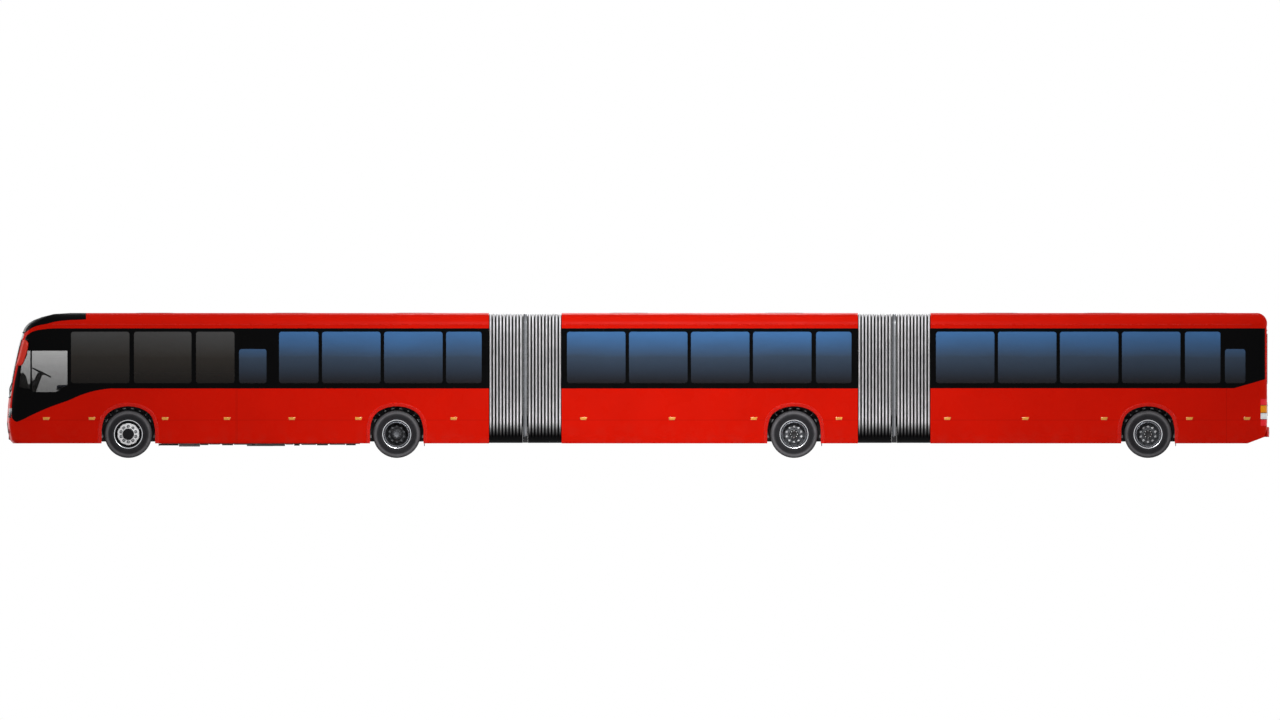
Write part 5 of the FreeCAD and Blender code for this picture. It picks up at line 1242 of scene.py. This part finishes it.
CUSHION = stuffed("cushion_pattern", (0.385, 0.375, 0.052), (-0.055, 0.055))
BACKREST = stuffed("back_pattern", (0.545, 0.370, 0.044), (-0.11, 0.02, 0.15))
CUSHION_PIPING, BACK_PIPING = edge_loop(CUSHION[0]), edge_loop(BACKREST[0])
CUSHION_TILT, PIPING = -0.04, 0.0045
BACK_FOOT, BACK_RISE = (0.395, 0.345), (0.125, 0.560)      # (x, z) of the back's front face from the seat's corner
BACK_TILT = math.atan2(*BACK_RISE) - math.pi / 2
SHELL = (                  # (x, z) round the moulded shell
    (0.005, 0.372), (0.030, 0.345), (0.380, 0.335), (0.440, 0.350), (0.470, 0.420), (0.558, 0.880), (0.556, 0.905),
    (0.540, 0.908), (0.528, 0.880), (0.445, 0.440), (0.415, 0.385), (0.370, 0.368),
)
SEAT_HANDLE = ((0.530, 0.06, 0.78), (0.552, 0.012, 0.84), (0.556, 0.020, 0.900), (0.550, 0.120, 0.912))
SEAT_HALF, SEAT_PITCH, LONE_SEAT_WIDTH = 0.205, 0.430, 0.7


def seat_at(pads, shells, x, y, z):
    """One seat: pads with piping on a moulded shell. x, y, z is its front corner on the floor, y its middle."""
    def lay(points, centre, tilt):
        c, s = math.cos(tilt), math.sin(tilt)
        return [(centre[0] + p.x * c + p.z * s, centre[1] + p.y, centre[2] - p.x * s + p.z * c) for p in points]

    back = (x + BACK_FOOT[0] + BACK_RISE[0] * 0.55 - 0.006, y, z + BACK_FOOT[1] + BACK_RISE[1] * 0.55)
    for (points, faces), piping, centre, tilt in ((CUSHION, CUSHION_PIPING, (x + 0.205, y, z + 0.405), CUSHION_TILT),
                                                  (BACKREST, BACK_PIPING, back, BACK_TILT)):
        pads.add(lay(points, centre, tilt), faces)
        pads.tube(lay(piping, centre, tilt), PIPING, 1, 6, True)
    shells.prism([(x + a, z + b) for a, b in SHELL], (y - SEAT_HALF, y + SEAT_HALF), 0, 0.006, 2)


def seat_pair(pads, shells, low, high):
    """Two seats on one leg, with two bars to the wall and a handle at the aisle."""
    x, middle, z = low.x, (low.y + high.y) / 2, low.z
    side = 1 if low.y > 0 else -1
    aisle, wall = sorted((low.y, high.y), key=abs)
    for k in (0, 1):
        seat_at(pads, shells, x, low.y + SEAT_PITCH / 2 + SEAT_PITCH * k, z)
    shells.block((x + 0.13, middle - 0.05, z), (x + 0.31, middle + 0.05, z + 0.006), 1, 0.003, 1)
    shells.tube([(x + 0.22, middle, z), (x + 0.22, middle, z + 0.33)], 0.030, 1, 12)
    for bar in (0.10, 0.34):
        shells.block((x + bar, aisle + side * 0.03, z + 0.318), (x + bar + 0.04, wall, z + 0.346), 1, 0.004, 1)
    shells.tube([(x + a, aisle + side * b, z + c) for a, b, c in SEAT_HANDLE], 0.012, 2, 8)


for car in CARS:
    pads, shells = Form(), Form()
    lone = []
    for low, high in islands(f"{car}_seats"):
        if high.y - low.y > LONE_SEAT_WIDTH:
            seat_pair(pads, shells, low, high)
        else:
            lone.append((low, high))
    if car == "front":     # the driver's seat, with a head rest and bellows under it
        low, high = lone[0]
        x, y, z = low.x, (low.y + high.y) / 2, low.z
        seat_at(pads, shells, x + 0.02, y, z + 0.05)
        head = Vector((x + 0.560, y, z + 0.985))
        pads.add([head + Vector((p.z * 1.3, p.y * 0.62, p.x * 0.28)) for p in BACKREST[0]], BACKREST[1])
        shells.block((x + 0.08, y - 0.17, z), (x + 0.36, y + 0.17, z + 0.05), 1, 0.01, 2)
        for k in range(4):
            inset, foot = 0.006 * k, z + 0.07 * k
            shells.block((x + 0.10 + inset, y - 0.15, foot + 0.06),
                         (x + 0.34 - inset, y + 0.15, foot + 0.12), 1, 0.025, 3)
    node, body = f"{car}_seats", f"{car}_car"
    pads.make(f"{car}_seat_pads", body, [SEAT_FABRIC, RUBBER], node, [node], 60.0)
    shells.make(f"{car}_seat_shells", body, [SEAT_SHELL, CHASSIS, POLE], node, [node])

# ---- handrails, ceiling lights, dash ------------------------------------------------------------
CEILING_Z, RAIL_Z, RAIL_Y, LIGHT_Y = 2.830, 2.63, 0.42, 0.62
STRAP_PITCH = 0.42
STRAP = ((-0.045, 2.42), (-0.040, 2.395), (0.040, 2.395), (0.045, 2.42), (0.0, 2.505))     # (x, z) of its loop
POST_FLANGE = [(0.0, 0.034), (0.010, 0.032), (0.014, 0.017)]
for car, x0, x1, posts in (("front", -12.0, FRONT_END_X - 0.15, (-11.4, -10.5, -9.05, -7.95, -6.50, -5.3, -4.2)),
                           ("middle", MIDDLE_START_X + 0.15, MIDDLE_END_X - 0.15, (-1.1, 0.9, 2.40, 3.5, 4.4)),
                           ("rear", REAR_START_X + 0.15, 13.30, (6.9, 7.75, 9.30, 10.6, 11.8, 12.9))):
    rails, lights = Form(), Form()
    for side in (-1, 1):
        y, strap_y = side * RAIL_Y, side * RAIL_Y - side * 0.012
        rails.tube([(x0, y, CEILING_Z - 0.02), (x0 + 0.03, y, 2.66), (x0 + 0.10, y, RAIL_Z), (x1 - 0.10, y, RAIL_Z),
                    (x1 - 0.03, y, 2.66), (x1, y, CEILING_Z - 0.02)], 0.016, 0, 10)
        for x in posts:
            rails.tube([(x, y, FLOOR_TOP), (x, y, CEILING_Z)], 0.016, 0, 10)
            for z in (FLOOR_TOP, CEILING_Z - 0.01):
                rails.turned((x, y, z), (0, 0, 1), POST_FLANGE, 16, 1)
            rails.block((x - 0.024, y - 0.024, FLOOR_TOP + 1.18), (x + 0.024, y + 0.024, FLOOR_TOP + 1.26), 2, 0.008, 2)
        for k in range(int((x1 - x0 - 0.6) / STRAP_PITCH)):
            x = x0 + 0.35 + STRAP_PITCH * k
            rails.tube([(x, y, RAIL_Z), (x, strap_y, 2.50)], 0.009, 1, 6)
            rails.tube([(x + a, strap_y, z) for a, z in STRAP], 0.007, 1, 6, True)
        lights.block((x0, side * LIGHT_Y - 0.07, CEILING_Z - 0.005), (x1, side * LIGHT_Y + 0.07, CEILING_Z + 0.010),
                     0, 0.006, 3)
    rails.make(f"{car}_handrails", f"{car}_car", [POLE, BLACK_PLASTIC, RED_LENS], f"{car}_floor")
    lights.make(f"{car}_ceiling_lights", f"{car}_car", [WHITE_LENS], f"{car}_roof")

form = Form()
for y in (-0.76, -0.52):
    form.turned((-13.262, y, 1.700), (0.80, 0, 0.60), [(0.0, 0.066), (0.012, 0.066), (0.014, 0.058), (0.006, 0.056, 1),
                                                       (0.006, 0.0)], 32)
form.block((-13.330, -0.90, 1.60), (-13.240, -0.38, 1.70), 0, 0.020, 3)
for row in range(2):
    for k in range(8):
        y, z = -0.86 + 0.058 * k, 1.625 + 0.034 * row
        form.block((-13.242, y, z), (-13.232, y + 0.044, z + 0.026), 2 if (k + row) % 3 else 3, 0.004, 1)
form.prism([(-13.600, 1.500), (-13.612, 1.740), (-13.570, 1.850), (-13.480, 1.872), (-13.420, 1.800), (-13.380, 1.640),
            (-13.340, 1.500)], (-0.96, -0.34), 2, 0.015, 3)
form.make("dash_instruments", "front_car", [DASH_PLASTIC, GLOSS_BLACK, BLACK_PLASTIC, WHEEL_GREY], "cockpit")

low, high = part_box("steering_wheel")
hub = (low + high) / 2
form = Form()
form.prism([(-13.345, 1.440), (-13.205, 1.440), (-13.110, 1.700), (-13.062, 1.832), (-13.110, 1.868), (-13.170, 1.862),
            (-13.260, 1.680)], (hub.y - 0.060, hub.y + 0.060), 0, 0.022, 3)
for way in (-1, 1):
    end = (-13.112, hub.y + way * 0.20, 1.816)
    form.tube([(-13.130, hub.y + way * 0.05, 1.800), (-13.120, hub.y + way * 0.13, 1.812), end], 0.008, 0, 8)
    form.turned(end, (0.1, way, 0.0), [(-0.02, 0.008), (-0.01, 0.013), (0.024, 0.011), (0.030, 0.0)], 12)
form.make("steering_column_shroud", "front_car", [BLACK_PLASTIC], "cockpit")

tilt = math.atan2(high.z - low.z - 0.030, high.x - low.x)
rim_radius = (high.y - low.y) / 2 - 0.018
upward = Vector((math.sin(tilt), 0.0, math.cos(tilt)))


def in_wheel(turn):
    """The way out from the steering wheel's middle at an angle in its plane."""
    return Vector((math.cos(tilt), 0.0, -math.sin(tilt))) * math.cos(turn) + Vector((0.0, 1.0, 0.0)) * math.sin(turn)


form = Form()
form.tube([hub + in_wheel(turn) * rim_radius for turn in around(48)], 0.0175, 0, 12, True)
for turn in (-100, -20, 20, 100):
    out = in_wheel(math.radians(turn - 180))
    form.tube([hub + out * 0.03 - upward * 0.012, hub + out * 0.12 - upward * 0.010, hub + out * (rim_radius - 0.004)],
              0.012, 0, 8)
form.turned(hub, upward, [(-0.050, 0.030), (-0.045, 0.052), (-0.014, 0.082), (0.008, 0.086), (0.020, 0.070),
                          (0.024, 0.030), (0.025, 0.0)], 40)
form.make("steering_wheel_rim", "steering_wheel", [BLACK_PLASTIC], "steering_wheel", ["steering_wheel"])

# ---- roof ---------------------------------------------------------------------------------------
roof = np.array([v.co for v in NODES["middle_roof"].data.vertices])
roof = roof[roof[:, 2] > GUTTER + 0.06]
ROOF = list(zip(*sorted({round(abs(float(y)), 3): float(roof[np.abs(np.abs(roof[:, 1]) - abs(y)) < 0.002, 2].max())
                         for y in roof[:, 1]}.items())))
ROOF_START_X, ROOF_END_X = -12.2, 13.4
SEAM_PITCH, SEAM_HALF, HATCH_ROOM = 1.16, 1.08, 0.46
HATCHES = {"front": (-10.6, -7.6, -4.9), "middle": (-0.2, 3.2), "rear": (7.9, 10.2, 12.5)}
for car, places in HATCHES.items():
    form = Form()
    for x in places:
        form.block((x - 0.42, -0.36, ROOF_TOP - 0.010), (x + 0.42, 0.36, ROOF_TOP + 0.0015), 1, 0.004, 2)
        form.block((x - 0.40, -0.34, ROOF_TOP - 0.004), (x + 0.40, 0.34, ROOF_TOP + 0.003), 0, 0.003, 3)
        for k in range(5):
            y = -0.26 + 0.125 * k
            form.block((x - 0.34, y, ROOF_TOP), (x + 0.34, y + 0.02, ROOF_TOP + 0.005), 0, 0.002, 1)
    low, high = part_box(f"{car}_roof")
    x0, x1 = max(low.x, ROOF_START_X), min(high.x, ROOF_END_X)
    for x in evenly(x0, x1, max(int((x1 - x0) / SEAM_PITCH), 1) + 1)[1:-1]:
        if all(abs(x - place) > HATCH_ROOM for place in places):
            form.tube([(x, y, float(np.interp(abs(y), *ROOF)) - 0.001) for y in evenly(-SEAM_HALF, SEAM_HALF, 44)],
                      0.003, 2, 6)
    form.make(f"{car}_roof_hatches", f"{car}_car", [ROOF_RED, RUBBER, RUBBER], f"{car}_roof")

# ---- rear ---------------------------------------------------------------------------------------
REAR_X, BUMPER_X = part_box("rear_windows")[1].x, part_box("rear_panel")[1].x
REAR_BLOCKS = (            # (face, from, to) as (out, y, z), (paint, edge, parts)
    (REAR_X, (-0.006, -0.560, 0.905), (0.006, 0.560, 1.245), (1, 0.006, 2)),
    (REAR_X, (-0.006, -0.200, 2.780), (0.006, 0.200, 2.815), (3, 0.004, 2)),
    (BUMPER_X, (-0.006, -0.290, 0.495), (0.003, 0.290, 0.635), (0, 0.004, 2)),
    (BUMPER_X, (0.0, -0.262, 0.508), (0.006, 0.262, 0.622), (2, 0.002, 1)),
    (BUMPER_X, (-0.006, -0.090, 0.640), (0.006, 0.090, 0.658), (0, 0.004, 1)),
)
REAR_SIDE_BLOCKS = (
    (BUMPER_X, (-0.004, 0.700, 0.545), (0.006, 0.860, 0.595), (3, 0.003, 2)),
    (BUMPER_X, (-0.004, 0.400, 0.550), (0.005, 0.480, 0.590), (2, 0.003, 2)),
    (REAR_X, (-0.002, 0.880, 0.998), (0.010, 0.930, 1.042), (0, 0.006, 2)),
    (REAR_X, (-0.002, 0.880, 1.138), (0.010, 0.930, 1.182), (0, 0.006, 2)),
)
LID_Y, LID_Z = 0.960, (0.76, 1.36)
form = Form()
for blocks, mirror in ((REAR_BLOCKS, 1), (REAR_SIDE_BLOCKS, -1), (REAR_SIDE_BLOCKS, 1)):
    for x, low, high, look in blocks:
        form.block((x + low[0], mirror * low[1], low[2]), (x + high[0], mirror * high[1], high[2]), *look)
for k in range(11):
    z = 0.935 + 0.028 * k
    form.prism([(REAR_X + 0.004, z - 0.008), (REAR_X + 0.016, z - 0.012), (REAR_X + 0.018, z - 0.008),
                (REAR_X + 0.006, z + 0.008)], (-0.540, 0.540), 0, 0.001, 1)
form.tube([(BUMPER_X + 0.001, -0.99, 0.476), (BUMPER_X + 0.001, 0.99, 0.476)], 0.003, 1, 6)
for y0, z0, y1, z1 in ((-LID_Y, LID_Z[1], -LID_Y, LID_Z[0]), (LID_Y, LID_Z[1], LID_Y, LID_Z[0]),
                       (-LID_Y, LID_Z[1], LID_Y, LID_Z[1])):
    form.tube([(REAR_X + 0.003, y0, z0), (REAR_X + 0.003, y1, z1)], 0.0035, 1, 6)
form.make("rear_fittings", "rear_car", [BLACK_PLASTIC, RUBBER, SILVER, RED_LENS], "rear_panel")
form = Form()
form.tube([(REAR_X, y, z) for y, z in rounded((-0.9, 1.64), (0.9, 2.71), 0.06, 0.066, 6)], 0.012, 0, 8, True)
form.make("rear_window_seal", "rear_car", [RUBBER], "rear_windows")

# ---- under the floor ----------------------------------------------------------------------------
SKIRT_BITS = (             # (from x, to x, low z, high z, paint) under the skirt from the front to the drive wheels
    (-10.470, -10.230, 0.300, 0.322, 2), (-10.511, -10.074, 0.274, 0.306, 0), (-9.600, -9.420, 0.282, 0.330, 0),
    (-9.400, -9.170, 0.294, 0.330, 1), (-9.120, -8.880, 0.278, 0.330, 0), (-8.860, -8.480, 0.290, 0.330, 1),
    (-8.470, -8.390, 0.276, 0.330, 0), (-7.730, -7.560, 0.292, 0.330, 1), (-7.540, -7.420, 0.270, 0.330, 0),
    (-7.380, -7.060, 0.286, 0.330, 1), (-7.040, -6.800, 0.276, 0.330, 0), (-6.760, -6.420, 0.288, 0.330, 1),
    (-6.400, -6.190, 0.278, 0.330, 0),
)
PIPES = ((0.318, 0.011), (0.345, 0.008))           # (z, radius) of the two long pipes
PIPE_PATH = ((-10.45, 1.13, 0.0), (-9.3, 1.135, -0.006), (-8.2, 1.13, 0.0), (-7.1, 1.136, -0.006), (-6.10, 1.13, 0.0))
form = Form()
for _, side in SIDES:
    for k, (x0, x1, z0, z1, paint) in enumerate(SKIRT_BITS):
        y = side * (1.060 + 0.030 * (k % 3))
        form.block((x0, y - side * 0.12, z0), (x1, y, z1), paint, 0.006, 2)
        form.tube([(x0 + 0.03, y - side * 0.02, z1 - 0.004), (x0 + 0.03, y - side * 0.02, 0.42)], 0.008, 0, 6)
    for z, radius in PIPES:
        form.tube([(x, side * y, z + sag) for x, y, sag in PIPE_PATH], radius, 0, 8)
form.make("front_skirt_fittings", "front_car", [CHASSIS, GREY_PAINT, SILVER], "underfloor_boxes")

AIR_SPRING = ((-0.10, 0.0, 1), (-0.10, 0.085), (-0.085, 0.098, 0), (-0.04, 0.118), (0.0, 0.100), (0.04, 0.118),
              (0.09, 0.112), (0.12, 0.098, 1), (0.155, 0.098), (0.155, 0.0))
BRAKE_CHAMBER = ((-0.07, 0.0), (-0.07, 0.05), (-0.05, 0.074), (-0.006, 0.082), (0.0, 0.088, 2), (0.008, 0.082, 1),
                 (0.05, 0.070), (0.07, 0.03), (0.07, 0.0))
for label, x, car in AXLES:
    form = Form()
    spread = 0.46 if label == "steer" else 0.44
    for _, side in SIDES:
        for way in (-1, 1):
            form.turned((x + way * 0.36, side * spread, 0.66), (0, 0, 1), AIR_SPRING, 28)
            for (x0, y0, z0), (x1, y1, z1), radius, paint, sides in (
                    ((0.52, 0.04, 0.48), (0.47, 0.06, 0.82), 0.022, 1, 12),
                    ((0.515, 0.042, 0.52), (0.49, 0.052, 0.68), 0.034, 2, 14)):
                form.tube([(x + way * x0, side * (spread + y0), z0), (x + way * x1, side * (spread + y1), z1)],
                          radius, paint, sides)
        form.turned((x + 0.20, side * 0.36, 0.60), (0.2, side, 0.1), BRAKE_CHAMBER, 24, 1)
    form.make(f"{label}_suspension", f"{car}_car", [RUBBER, CHASSIS, STEEL], f"{car}_underframe")
